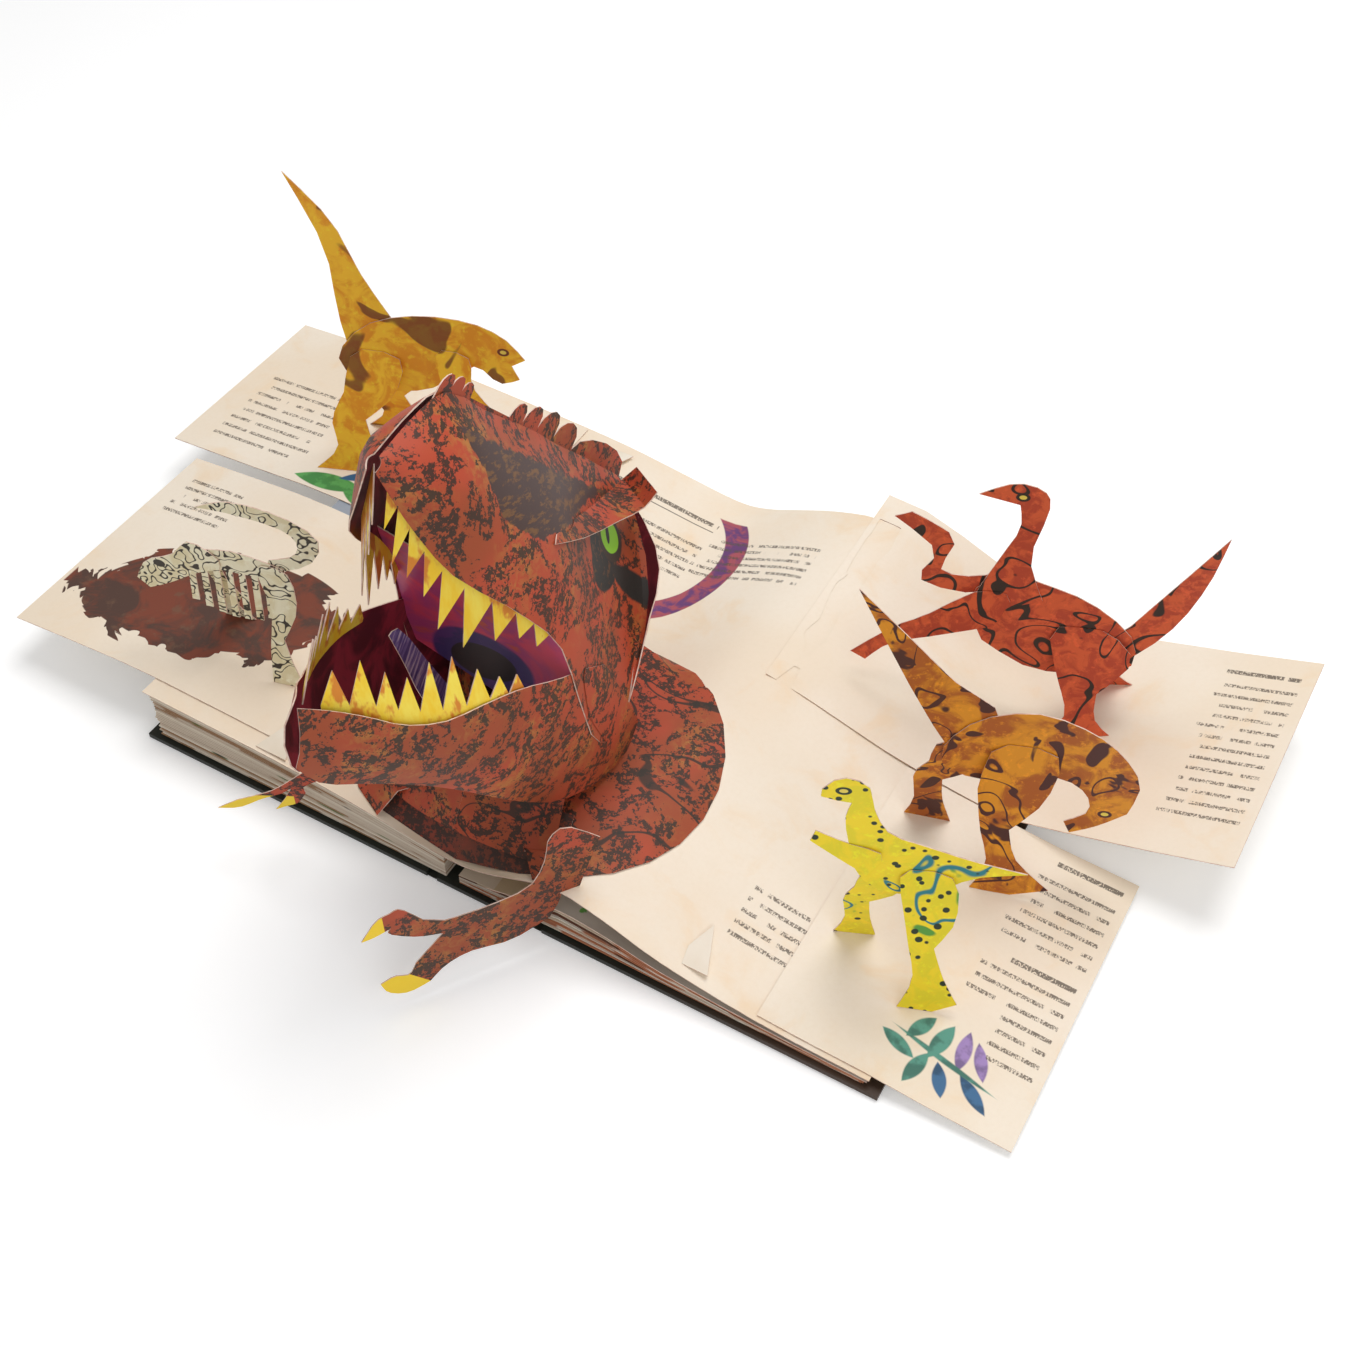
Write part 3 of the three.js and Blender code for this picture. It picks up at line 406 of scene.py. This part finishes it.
toothInks = {"deep": (0.93, 0.60, 0.02), "pale": (0.96, 0.76, 0.09), "burnt": (0.66, 0.15, 0.012)}
mouthPrint = {"crimson": (0.66, 0.055, 0.12), "purple": (0.40, 0.045, 0.17), "ember": (0.60, 0.085, 0.03),
              "ring": ((-19.5, 124.0), (31.0, 24.0), 33.0, 0.10),
              "ringInks": ((0.045, 0.025, 0.13), (0.09, 0.03, 0.16)),
              "gullet": ((-19.5, 123.0), (21.0, 14.0), 33.0, 0.05), "gulletInk": (0.010, 0.006, 0.008)}
insideInks = ((0.11, 0.014, 0.022), (0.32, 0.030, 0.050))
tongueInks = {"dark": (0.075, 0.045, 0.17), "violet": (0.17, 0.11, 0.30), "line": (0.52, 0.40, 0.52)}


def toothCard():
    tree = Tree("toothCard")
    x, y, z = tree.axes()
    streak = tree.noise(1.0, 4.0, 0.65, at=tree.vector(x * 0.10, y * 0.10, z * 0.022))
    color = tree.mix(tree.step(streak, 0.35, 0.62), toothInks["deep"], toothInks["pale"])
    burnt = tree.step(streak + (tree.noise(40.0) - 0.5) * 1.2, 0.50, 0.62)
    color = tree.mix(burnt * 0.85, color, toothInks["burnt"])
    return tree.finish(color, 0.5, streak, 0.05)


def mouthLining():
    # Purple and crimson, with a dark oval where the gullet is printed
    tree = Tree("mouthLining")
    x, _, z = tree.axes()
    cloud = tree.noise(22.0, 4.0, 0.55, warp=1.5)
    color = tree.mix(tree.step(cloud, 0.36, 0.60), mouthPrint["crimson"], mouthPrint["purple"])
    color = tree.mix(tree.step(cloud, 0.58, 0.68) * 0.8, color, mouthPrint["ember"])
    ringInk = tree.mix(tree.step(cloud, 0.45, 0.5), *mouthPrint["ringInks"])
    color = tree.mix(oval(tree, x, z, *mouthPrint["ring"]), color, ringInk)
    color = tree.mix(oval(tree, x, z, *mouthPrint["gullet"]), color, mouthPrint["gulletInk"])
    return tree.finish(color, 0.45)


def jawInside():
    tree = Tree("jawInside")
    cloud = tree.noise(34.0, 4.0, 0.6, warp=0.8)
    return tree.finish(tree.mix(tree.step(cloud, 0.42, 0.60), *insideInks), 0.5)


def tongueCard():
    tree = Tree("tongueCard")
    _, y, z = tree.axes()
    streak = tree.noise(1.0, 3.0, 0.6, at=tree.vector(0.0, (y + z) * 0.03, (z - y) * 0.34))
    color = tree.mix(tree.step(streak, 0.42, 0.5), tongueInks["dark"], tongueInks["violet"])
    color = tree.mix(tree.step(streak, 0.55, 0.60) * 0.9, color, tongueInks["line"])
    return tree.finish(color, 0.5)


def plainCard(name, pale, dark, scale):
    tree = Tree(name)
    cloud = tree.noise(scale, 4.0)
    fibre = tree.noise(500.0, 2.0)
    return tree.finish(tree.mix(tree.step(cloud, 0.35, 0.7), pale, dark), 0.7, fibre, 0.08)


# The small animals: a cloud of two inks, then patches, bands, spots or stripes of a third, and an eye
figureLooks = {
    "amber": {"inks": ((0.97, 0.56, 0.03), (0.82, 0.32, 0.015)), "mark": (0.17, 0.042, 0.016), "scale": 60.0,
              "kind": "cloud", "eye": (-139.8, 121.0)},
    "brick": {"inks": ((0.66, 0.11, 0.035), (0.46, 0.06, 0.024)), "mark": (0.030, 0.018, 0.014), "scale": 100.0,
              "kind": "band", "eye": (164.5, 161.0)},
    "umber": {"inks": ((0.72, 0.28, 0.014), (0.40, 0.10, 0.012)), "mark": (0.070, 0.018, 0.014), "scale": 50.0,
              "kind": "band", "eye": (252.6, 54.0)},
    "lime": {"inks": ((0.93, 0.70, 0.02), (0.80, 0.66, 0.02)), "mark": (0.020, 0.035, 0.016), "scale": 60.0,
             "kind": "spot", "eye": (163.6, 143.6)},
    "bone": {"inks": ((0.86, 0.80, 0.58), (0.76, 0.67, 0.42)), "mark": (0.040, 0.030, 0.020), "scale": 60.0,
             "kind": "stripe", "eye": (-219.9, 91.4)},
}
limeInks = {"green": (0.10, 0.33, 0.05), "teal": (0.02, 0.20, 0.24)}
figureEye = {"ring": (3.2, 2.6), "iris": (1.7, 1.3), "ink": (0.80, 0.62, 0.10), "soft": 0.1}
fleckGain = 1.35  # how much brighter the flecks are than the first ink


def figureMarks(tree, x, y, z, name, color):
    look = figureLooks[name]
    if look["kind"] == "cloud":
        patches = tree.step(tree.noise(26.0, 2.0, 0.5, warp=0.8), 0.60, 0.63)
        return tree.mix(patches * 0.85, color, look["mark"])
    if look["kind"] == "band":
        sweep = tree.noise(30.0, 1.0, 0.4, warp=1.4)
        marks = band(tree, sweep, 0.60, 0.645, 0.004).most(band(tree, sweep, 0.36, 0.39, 0.004))
        if name == "umber":
            marks = marks.most(tree.step(tree.noise(38.0, 3.0, 0.6, warp=0.5), 0.59, 0.62))
        return tree.mix(marks, color, look["mark"])
    if look["kind"] == "spot":
        green = tree.step(tree.noise(34.0, 2.0, 0.5, warp=0.6), 0.61, 0.64)
        color = tree.mix(green, color, limeInks["green"])
        teal = band(tree, tree.noise(24.0, 1.0, 0.4, warp=1.0), 0.36, 0.385, 0.006)
        color = tree.mix(teal, color, limeInks["teal"])
        cells = tree.add("ShaderNodeTexVoronoi", None, {"Vector": tree.place, "Scale": 150.0, "Randomness": 1.0})
        spots = tree.step(Wire(tree, cells.outputs["Distance"]) + tree.noise(40.0) * 0.5, 0.52, 0.46)
        return tree.mix(spots, color, look["mark"])
    stripe = tree.noise(1.0, 1.0, 0.4, at=tree.vector(x * 0.11, y * 0.11, z * 0.13))
    marks = band(tree, stripe, 0.47, 0.51, 0.006).most(band(tree, stripe, 0.62, 0.66, 0.006))
    return tree.mix(marks, color, look["mark"])


def figureCard(name):
    look = figureLooks[name]
    tree = Tree(name + "Card")
    x, y, z = tree.axes()
    cloud = tree.noise(look["scale"], 5.0, 0.6, warp=0.9)
    fleck = tree.noise(240.0, 4.0, 0.65)
    color = tree.mix(tree.step(cloud, 0.42, 0.58), *look["inks"])
    bright = tuple(min(1.0, fleckGain * c) for c in look["inks"][0])
    color = tree.mix(tree.step(fleck, 0.54, 0.68) * 0.5, color, bright)
    color = figureMarks(tree, x, y, z, name, color)
    ring = oval(tree, x, z, look["eye"], figureEye["ring"], 0.0, figureEye["soft"])
    color = tree.mix(ring, color, look["mark"])
    if look["kind"] != "stripe":
        iris = oval(tree, x, z, look["eye"], figureEye["iris"], 0.0, figureEye["soft"])
        color = tree.mix(iris, color, figureEye["ink"])
    return tree.finish(color, 0.55, fleck, 0.08)


boardInks = {"left": (0.014, 0.017, 0.012), "right": (0.052, 0.028, 0.016), "worn": (0.05, 0.045, 0.035),
             "changeFrom": 60.0, "changeTo": 190.0}


def coverBoard():
    # Nearly black on the left, browner towards the right cover's edge
    tree = Tree("coverBoard")
    grain = tree.noise(900.0, 3.0, 0.6)
    wear = tree.noise(30.0, 5.0, 0.65)
    x, _, _ = tree.axes()
    brown = tree.step(x, boardInks["changeFrom"], boardInks["changeTo"])
    color = tree.mix(brown, boardInks["left"], boardInks["right"])
    color = tree.mix(tree.step(wear, 0.55, 0.75) * 0.35, color, boardInks["worn"])
    return tree.finish(color, 0.42 + 0.2 * grain, grain, 0.25, 0.0004)


# The leaves' paper tones, and the inks that run to some edges, each with the level above which it shows
leafTones = ((0.88, 0.80, 0.68), (0.62, 0.50, 0.38))
leftAccents = (((0.35, 0.16, 0.05), 0.78), ((0.16, 0.22, 0.08), 0.90), ((0.03, 0.025, 0.02), 0.97))
rightAccents = (((0.50, 0.14, 0.04), 0.66), ((0.10, 0.045, 0.03), 0.80))


def leafEdge(name, accents):
    tree = Tree(name)
    number = Wire(tree, tree.add("ShaderNodeAttribute", {"attribute_name": "leafNumber"}).outputs["Fac"])
    x, y, _ = tree.axes()
    color = tree.mix(tree.chance(number), *leafTones)
    patchy = tree.noise(1.0, 2.0, 0.5, at=tree.vector(x * 0.02, y * 0.02, number * 3.1))
    for ink, low in accents:
        mask = tree.step(patchy + 0.35 * tree.chance(number + low * 10.0), low, low + 0.04)
        color = tree.mix(mask * 0.85, color, ink)
    return tree.finish(color, 0.75, tree.noise(300.0, 2.0), 0.1)


nextInks = {"left": ((0.36, 0.40, 0.50), (0.55, 0.42, 0.27)), "right": ((0.50, 0.44, 0.38), (0.36, 0.30, 0.25)),
            "green": (0.10, 0.26, 0.05), "changeFrom": 20.0, "changeTo": 45.0}


def nextPage():
    # The spread below shows soft blue-grey sky, sandy rock and a little green
    tree = Tree("nextPage")
    x, _, _ = tree.axes()
    cloud = tree.noise(16.0, 3.0, 0.5, warp=0.5)
    leftInk = tree.mix(tree.step(cloud, 0.46, 0.50), *nextInks["left"])
    rightInk = tree.mix(tree.step(cloud, 0.3, 0.7), *nextInks["right"])
    color = tree.mix(tree.step(x, nextInks["changeFrom"], nextInks["changeTo"]), leftInk, rightInk)
    color = tree.mix(tree.step(tree.noise(70.0, 3.0), 0.66, 0.70), color, nextInks["green"])
    return tree.finish(color, 0.65, tree.noise(300.0), 0.08)


print("materials")
spreadPrint = parchment("spreadPrint", "spread")
foldoutPrint = parchment("foldoutPrint", "foldout")
paperBack = plainCard("paperBack", (0.86, 0.78, 0.66), (0.78, 0.68, 0.54), 30.0)
cardEdge = plainCard("cardEdge", (0.80, 0.62, 0.52), (0.58, 0.36, 0.28), 200.0)
headHide = hide("headHide", "head", 0.45)
jawHide = hide("jawHide", "plain", 0.55)
bodyHide = hide("bodyHide", "body", 0.35)
armHide = hide("armHide", "arm", 0.7)
farArmHide = hide("farArmHide", "farArm", 0.6)
crestHide = hide("crestHide", "plain", 0.65)
# The chest card gets the densest dark marks and painted shade, for the shade under the jaw
chestHideWithPaintedShade = hide("chestHideWithPaintedShade", "chest", 0.95)
toothFace = toothCard()
mouthFace = mouthLining()
insideFace = jawInside()
tongueFace = tongueCard()
figureFaces = {name: figureCard(name) for name in figureLooks}
boardFace = coverBoard()
nextFace = nextPage()
leftLeaf = leafEdge("leftLeafEdge", leftAccents)
rightLeaf = leafEdge("rightLeafEdge", rightAccents)

cutEdgeWidth = 0.0011  # narrower runs of faces are a card's cut edge
foldAngle = math.radians(32)  # faces that meet at less are one smooth side
mergeGap = 2e-6
openEdge = 3.0  # the angle given to an edge with one face


def dressCard(node, face, back=None, outward=(0, 0, 1)):
    # A smooth copy of a card node, with its print, its back and its cut edges in separate slots
    mesh = bpy.data.meshes.new(node + "Card")
    bm = bmesh.new()
    bm.from_mesh(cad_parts[node].data)
    bmesh.ops.remove_doubles(bm, verts=bm.verts, dist=mergeGap)
    bm.faces.ensure_lookup_table()
    region, regions = {}, []
    for start in bm.faces:
        if start in region:
            continue
        members, queue = [], [start]
        region[start] = len(regions)
        while queue:
            current = queue.pop()
            members.append(current)
            for link in current.edges:
                if len(link.link_faces) == 2 and link.calc_face_angle(openEdge) < foldAngle:
                    for other in link.link_faces:
                        if other not in region:
                            region[other] = len(regions)
                            queue.append(other)
        regions.append(members)
    for members in regions:
        area = sum(f.calc_area() for f in members)
        own = set(members)
        rim = sum(e.calc_length() for e in {e for f in members for e in f.edges}
                  if any(other not in own for other in e.link_faces))
        normal = sum((f.normal * f.calc_area() for f in members), Vector())
        kind = 2 if 2 * area < cutEdgeWidth * rim else (0 if normal.dot(Vector(outward)) >= 0 else 1)
        for f in members:
            f.material_index = kind
            f.smooth = True
    for link in bm.edges:
        link.smooth = len(link.link_faces) == 2 and link.calc_face_angle(openEdge) < foldAngle
    bm.to_mesh(mesh)
    bm.free()
    piece = bpy.data.objects.new(node + "Card", mesh)
    bpy.context.scene.collection.objects.link(piece)
    for finish in (face, back or face, cardEdge):
        mesh.materials.append(finish)
    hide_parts(node)
    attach(piece, "book")


print("pages and fold-outs")
dressCard("open_spread", spreadPrint, paperBack)
dressCard("next_spread", nextFace, paperBack)
for place in ("lower_left", "upper_left", "upper_right", "lower_right"):
    dressCard(place + "_foldout", foldoutPrint, paperBack)
for place in ("front", "left", "back"):
    dressCard("paper_tab_" + place, paperBack, paperBack)

print("raised head")
for side, sign in (("right", 1), ("left", -1)):
    out = (sign, 0, 0)
    dressCard("head_" + side, headHide, insideFace, out)
    dressCard("lower_jaw_" + side, jawHide, insideFace, out)
    dressCard("brow_" + side, crestHide, crestHide, out)
    dressCard("upper_teeth_" + side, toothFace)
    dressCard("lower_teeth_" + side, toothFace)
    dressCard("neck_" + side, bodyHide, insideFace, out)
    dressCard("body_" + side, bodyHide, insideFace)
dressCard("head_crest", crestHide, crestHide)
dressCard("throat", mouthFace, mouthFace)
dressCard("tongue", tongueFace, tongueFace)
# The lower chest plate carries painted shade for the shade under the jaw
dressCard("chest_plate_lower", chestHideWithPaintedShade, chestHideWithPaintedShade)
dressCard("chest_plate_upper", bodyHide, bodyHide)
dressCard("right_arm", armHide, armHide)
dressCard("left_arm", farArmHide, farArmHide)

print("small animals")
figurePieces = {
    "amber_runner": ("amber", ("body", "tail", "near_leg", "far_leg", "near_arm")),
    "fossil": ("bone", ("ribs", "skull", "tail", "near_leg", "far_leg")),
    "brick_longneck": ("brick", ("body", "neck", "tail", "near_leg", "far_leg", "near_arm", "far_arm")),
    "umber_stalker": ("umber", ("body", "tail", "near_leg", "far_leg")),
    "lime_strider": ("lime", ("body", "near_leg", "far_leg", "near_arm")),
}
for figure, (ink, parts) in figurePieces.items():
    for part in parts:
        dressCard(figure + "_" + part, figureFaces[ink], figureFaces[ink], (0.3, -1, 0))

print("case")
for board in ("spine_board", "left_cover", "right_cover"):
    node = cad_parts[board]
    node.data.materials.clear()
    node.data.materials.append(boardFace)


# Leaves: one sheet, fanned by a node tree into a stack. Places are in millimetres, levels and the shift are
# parts of the whole, and a knot is a place across the page and its height
leafStacks = {
    "left": {"root": -24.0, "rootTop": 19.0, "knots": ((-75, 27.0), (-110, 30.6), (-150, 33.0)),
             "edge": -209.0, "edgeTop": 34.6, "count": 19, "low": 0.03, "high": 0.965, "thick": 0.45, "seed": 4,
             "replaces": "left_page_block"},
    "right": {"root": -16.0, "rootTop": 10.4,
              "knots": ((20, 15.6), (43, 21.8), (70, 18.8), (100, 11.8), (150, 7.4)),
              "edge": 206.5, "edgeTop": 5.6, "count": 7, "low": 0.06, "high": 0.93, "thick": 0.30, "seed": 9,
              "replaces": "right_page_block"},
}
leafHalfDepth = 148.2
stackBottom = 3.4
leafShift = 0.012


def leafSheet(name, stack):
    # One leaf at the top of the stack; the node tree scales it down to every level
    points = [(stack["root"], stack["rootTop"]), *stack["knots"], (stack["edge"], stack["edgeTop"])]
    mesh = bpy.data.meshes.new(name)
    bm = bmesh.new()
    rows = [[bm.verts.new((px / 1000, py / 1000, (pz - stackBottom) / 1000)) for px, pz in points]
            for py in (-leafHalfDepth, leafHalfDepth)]
    for i in range(len(points) - 1):
        bm.faces.new((rows[0][i], rows[0][i + 1], rows[1][i + 1], rows[1][i]))
    bmesh.ops.recalc_face_normals(bm, faces=bm.faces)
    bm.faces.ensure_lookup_table()
    if bm.faces[0].normal.z < 0:
        bmesh.ops.reverse_faces(bm, faces=bm.faces)
    bm.to_mesh(mesh)
    bm.free()
    sheet = bpy.data.objects.new(name, mesh)
    bpy.context.scene.collection.objects.link(sheet)
    return sheet


def leafTree(material):
    # Inputs: sheet, count, lowest and highest level, shift of the edges, thickness, seed
    tree = bpy.data.node_groups.new("leafFan", "GeometryNodeTree")
    face = tree.interface
    face.new_socket(name="Sheet", in_out="INPUT", socket_type="NodeSocketGeometry")
    for name, kind in (("Count", "Int"), ("Low", "Float"), ("High", "Float"), ("Shift", "Float"),
                       ("Thickness", "Float"), ("Seed", "Int")):
        face.new_socket(name=name, in_out="INPUT", socket_type="NodeSocket" + kind)
    face.new_socket(name="Leaves", in_out="OUTPUT", socket_type="NodeSocketGeometry")
    nodes, links = tree.nodes, tree.links
    given, result = nodes.new("NodeGroupInput"), nodes.new("NodeGroupOutput")
    line = nodes.new("GeometryNodeMeshLine")
    line.inputs["Offset"].default_value = (0, 0, 0)
    links.new(given.outputs["Count"], line.inputs["Count"])
    # Each leaf's level in the stack, and how far its edge is drawn in
    index = nodes.new("GeometryNodeInputIndex")
    last = nodes.new("ShaderNodeMath")
    last.operation = "SUBTRACT"
    last.inputs[1].default_value = 1.0
    links.new(given.outputs["Count"], last.inputs[0])
    level = nodes.new("ShaderNodeMapRange")
    for source, socket in ((index.outputs[0], "Value"), (last.outputs[0], "From Max"),
                           (given.outputs["Low"], "To Min"), (given.outputs["High"], "To Max")):
        links.new(source, level.inputs[socket])
    minus = nodes.new("ShaderNodeMath")
    minus.operation = "SUBTRACT"
    minus.inputs[0].default_value = 1.0
    links.new(given.outputs["Shift"], minus.inputs[1])
    shift = nodes.new("FunctionNodeRandomValue")
    links.new(minus.outputs[0], shift.inputs[2])
    shift.inputs[3].default_value = 1.0
    links.new(given.outputs["Seed"], shift.inputs["Seed"])
    size = nodes.new("ShaderNodeCombineXYZ")
    links.new(shift.outputs[1], size.inputs[0])
    size.inputs[1].default_value = 1.0
    links.new(level.outputs[0], size.inputs[2])
    fan = nodes.new("GeometryNodeInstanceOnPoints")
    links.new(line.outputs[0], fan.inputs["Points"])
    links.new(given.outputs["Sheet"], fan.inputs["Instance"])
    links.new(size.outputs[0], fan.inputs["Scale"])
    number = nodes.new("GeometryNodeStoreNamedAttribute")
    number.domain = "INSTANCE"
    number.inputs["Name"].default_value = "leafNumber"
    links.new(fan.outputs[0], number.inputs["Geometry"])
    links.new(index.outputs[0], number.inputs["Value"])
    real = nodes.new("GeometryNodeRealizeInstances")
    links.new(number.outputs[0], real.inputs[0])
    # Straight down, with the leaf's own top kept
    down = nodes.new("ShaderNodeVectorMath")
    down.operation = "SCALE"
    down.inputs[0].default_value = (0, 0, -1)
    down.inputs[3].default_value = 1.0
    thick = nodes.new("GeometryNodeExtrudeMesh")
    thick.inputs["Individual"].default_value = False
    links.new(real.outputs[0], thick.inputs["Mesh"])
    links.new(down.outputs[0], thick.inputs["Offset"])
    links.new(given.outputs["Thickness"], thick.inputs["Offset Scale"])
    both = nodes.new("GeometryNodeJoinGeometry")
    links.new(thick.outputs[0], both.inputs[0])
    links.new(real.outputs[0], both.inputs[0])
    paint = nodes.new("GeometryNodeSetMaterial")
    paint.inputs["Material"].default_value = material
    links.new(both.outputs[0], paint.inputs[0])
    links.new(paint.outputs[0], result.inputs[0])
    return tree


def fannedLeaves(side, stack, material):
    sheet = leafSheet(side + "LeafSheet", stack)
    tree = leafTree(material)
    fan = sheet.modifiers.new("fan", "NODES")
    fan.node_group = tree
    values = {"Count": stack["count"], "Low": stack["low"], "High": stack["high"], "Shift": leafShift,
              "Thickness": stack["thick"] / 1000, "Seed": stack["seed"]}
    for item in tree.interface.items_tree:
        if item.in_out == "INPUT" and item.name in values:
            fan[item.identifier] = values[item.name]
    flat = bpy.data.meshes.new_from_object(sheet.evaluated_get(bpy.context.evaluated_depsgraph_get()))
    bm = bmesh.new()
    bm.from_mesh(flat)
    bmesh.ops.translate(bm, verts=bm.verts, vec=(0, 0, stackBottom / 1000))
    bmesh.ops.remove_doubles(bm, verts=bm.verts, dist=1e-7)
    bmesh.ops.recalc_face_normals(bm, faces=bm.faces)
    bm.to_mesh(flat)
    bm.free()
    bpy.data.objects.remove(sheet)
    leaves = bpy.data.objects.new(side + "Leaves", flat)
    bpy.context.scene.collection.objects.link(leaves)
    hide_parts(stack["replaces"])
    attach(leaves, "book")


print("leaves")
fannedLeaves("left", leafStacks["left"], leftLeaf)
fannedLeaves("right", leafStacks["right"], rightLeaf)

# Cloth joints that bridge the grooves between the spine board and the covers
clothJoint = {"inner": 28.0, "outer": 34.0, "halfDepth": 150.6, "low": 0.5, "thick": 0.7, "dip": 0.3, "steps": 8}


def clothHinge(side, sign):
    mesh = bpy.data.meshes.new(side + "ClothJoint")
    bm = bmesh.new()
    rings = []
    for i in range(clothJoint["steps"] + 1):
        t = i / clothJoint["steps"]
        px = sign * (clothJoint["inner"] + (clothJoint["outer"] - clothJoint["inner"]) * t)
        pz = clothJoint["low"] - clothJoint["dip"] * math.sin(math.pi * t)
        reach, top = clothJoint["halfDepth"], pz + clothJoint["thick"]
        corners = [(px, -reach, pz), (px, reach, pz), (px, reach, top), (px, -reach, top)]
        rings.append([bm.verts.new(Vector(c) / 1000) for c in corners])
    for a, b in zip(rings, rings[1:]):
        for k in range(4):
            bm.faces.new((a[k], a[(k + 1) % 4], b[(k + 1) % 4], b[k]))
    bm.faces.new(rings[0])
    bm.faces.new(rings[-1][::-1])
    bmesh.ops.recalc_face_normals(bm, faces=bm.faces)
    bm.to_mesh(mesh)
    bm.free()
    joint = bpy.data.objects.new(side + "ClothJoint", mesh)
    bpy.context.scene.collection.objects.link(joint)
    mesh.materials.append(boardFace)
    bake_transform(joint)


print("cloth joints")
clothHinge("left", -1)
clothHinge("right", 1)

print("floor, lamps and camera")
floorLook = {"half": 6.0, "drop": 0.0004, "color": (0.93, 0.93, 0.93, 1), "roughness": 0.9, "specular": 0.1}
half = floorLook["half"]
floorMesh = bpy.data.meshes.new("floor")
floorMesh.from_pydata([(-half, -half, 0), (half, -half, 0), (half, half, 0), (-half, half, 0)], [], [(0, 1, 2, 3)])
floor = bpy.data.objects.new("floor", floorMesh)
floor.location.z = -floorLook["drop"]
bpy.context.scene.collection.objects.link(floor)
floorTree = Tree("paleFloor")
floorTree.shader.inputs["Base Color"].default_value = floorLook["color"]
floorTree.shader.inputs["Roughness"].default_value = floorLook["roughness"]
floorTree.shader.inputs["Specular IOR Level"].default_value = floorLook["specular"]
path = floorTree.add("ShaderNodeLightPath").outputs
seen = Wire(floorTree, path["Is Camera Ray"]).most(Wire(floorTree, path["Is Glossy Ray"]))
lift = floorTree.add("ShaderNodeEmission", None,
                     {"Color": (1, 1, 1, 1), "Strength": seen * light["floorLift"]})
both = floorTree.add("ShaderNodeAddShader", None, {0: floorTree.shader.outputs[0], 1: lift.outputs[0]})
floorTree.links.new(both.outputs[0], floorTree.nodes["Material Output"].inputs[0])
floorMesh.materials.append(floorTree.material)

world = bpy.data.worlds.new("studio")
bpy.context.scene.world = world
world.use_nodes = True
sky = world.node_tree
# White where the camera sees it, plain soft light elsewhere
seenSky, plainSky = sky.nodes.new("ShaderNodeBackground"), sky.nodes["Background"]
seenSky.inputs[0].default_value = (1, 1, 1, 1)
plainSky.inputs[0].default_value = (1, 1, 1, 1)
plainSky.inputs[1].default_value = light["worldStrength"]
pathSky, chooseSky = sky.nodes.new("ShaderNodeLightPath"), sky.nodes.new("ShaderNodeMixShader")
sky.links.new(pathSky.outputs["Is Camera Ray"], chooseSky.inputs[0])
sky.links.new(plainSky.outputs[0], chooseSky.inputs[1])
sky.links.new(seenSky.outputs[0], chooseSky.inputs[2])
sky.links.new(chooseSky.outputs[0], sky.nodes["World Output"].inputs[0])


def lamp(name, place, size, power):
    data = bpy.data.lights.new(name, "AREA")
    data.size, data.energy = size, power
    lampObject = bpy.data.objects.new(name, data)
    lampObject.location = place
    lampObject.rotation_euler = (Vector(light["aim"]) - Vector(place)).to_track_quat("-Z", "Y").to_euler()
    bpy.context.scene.collection.objects.link(lampObject)


lamp("key", light["keyPlace"], light["keySize"], light["keyPower"])
lamp("fill", light["fillPlace"], light["fillSize"], light["fillPower"])

lens = bpy.data.cameras.new("camera")
lens.lens, lens.sensor_width, lens.sensor_fit = camera["lens"], 36.0, "HORIZONTAL"
eye = bpy.data.objects.new("camera", lens)
eye.location = camera["place"]
eye.rotation_euler = (math.radians(camera["tilt"]), 0, math.radians(camera["turn"]))
bpy.context.scene.collection.objects.link(eye)
bpy.context.scene.camera = eye
bpy.context.scene.view_settings.view_transform = "Standard"
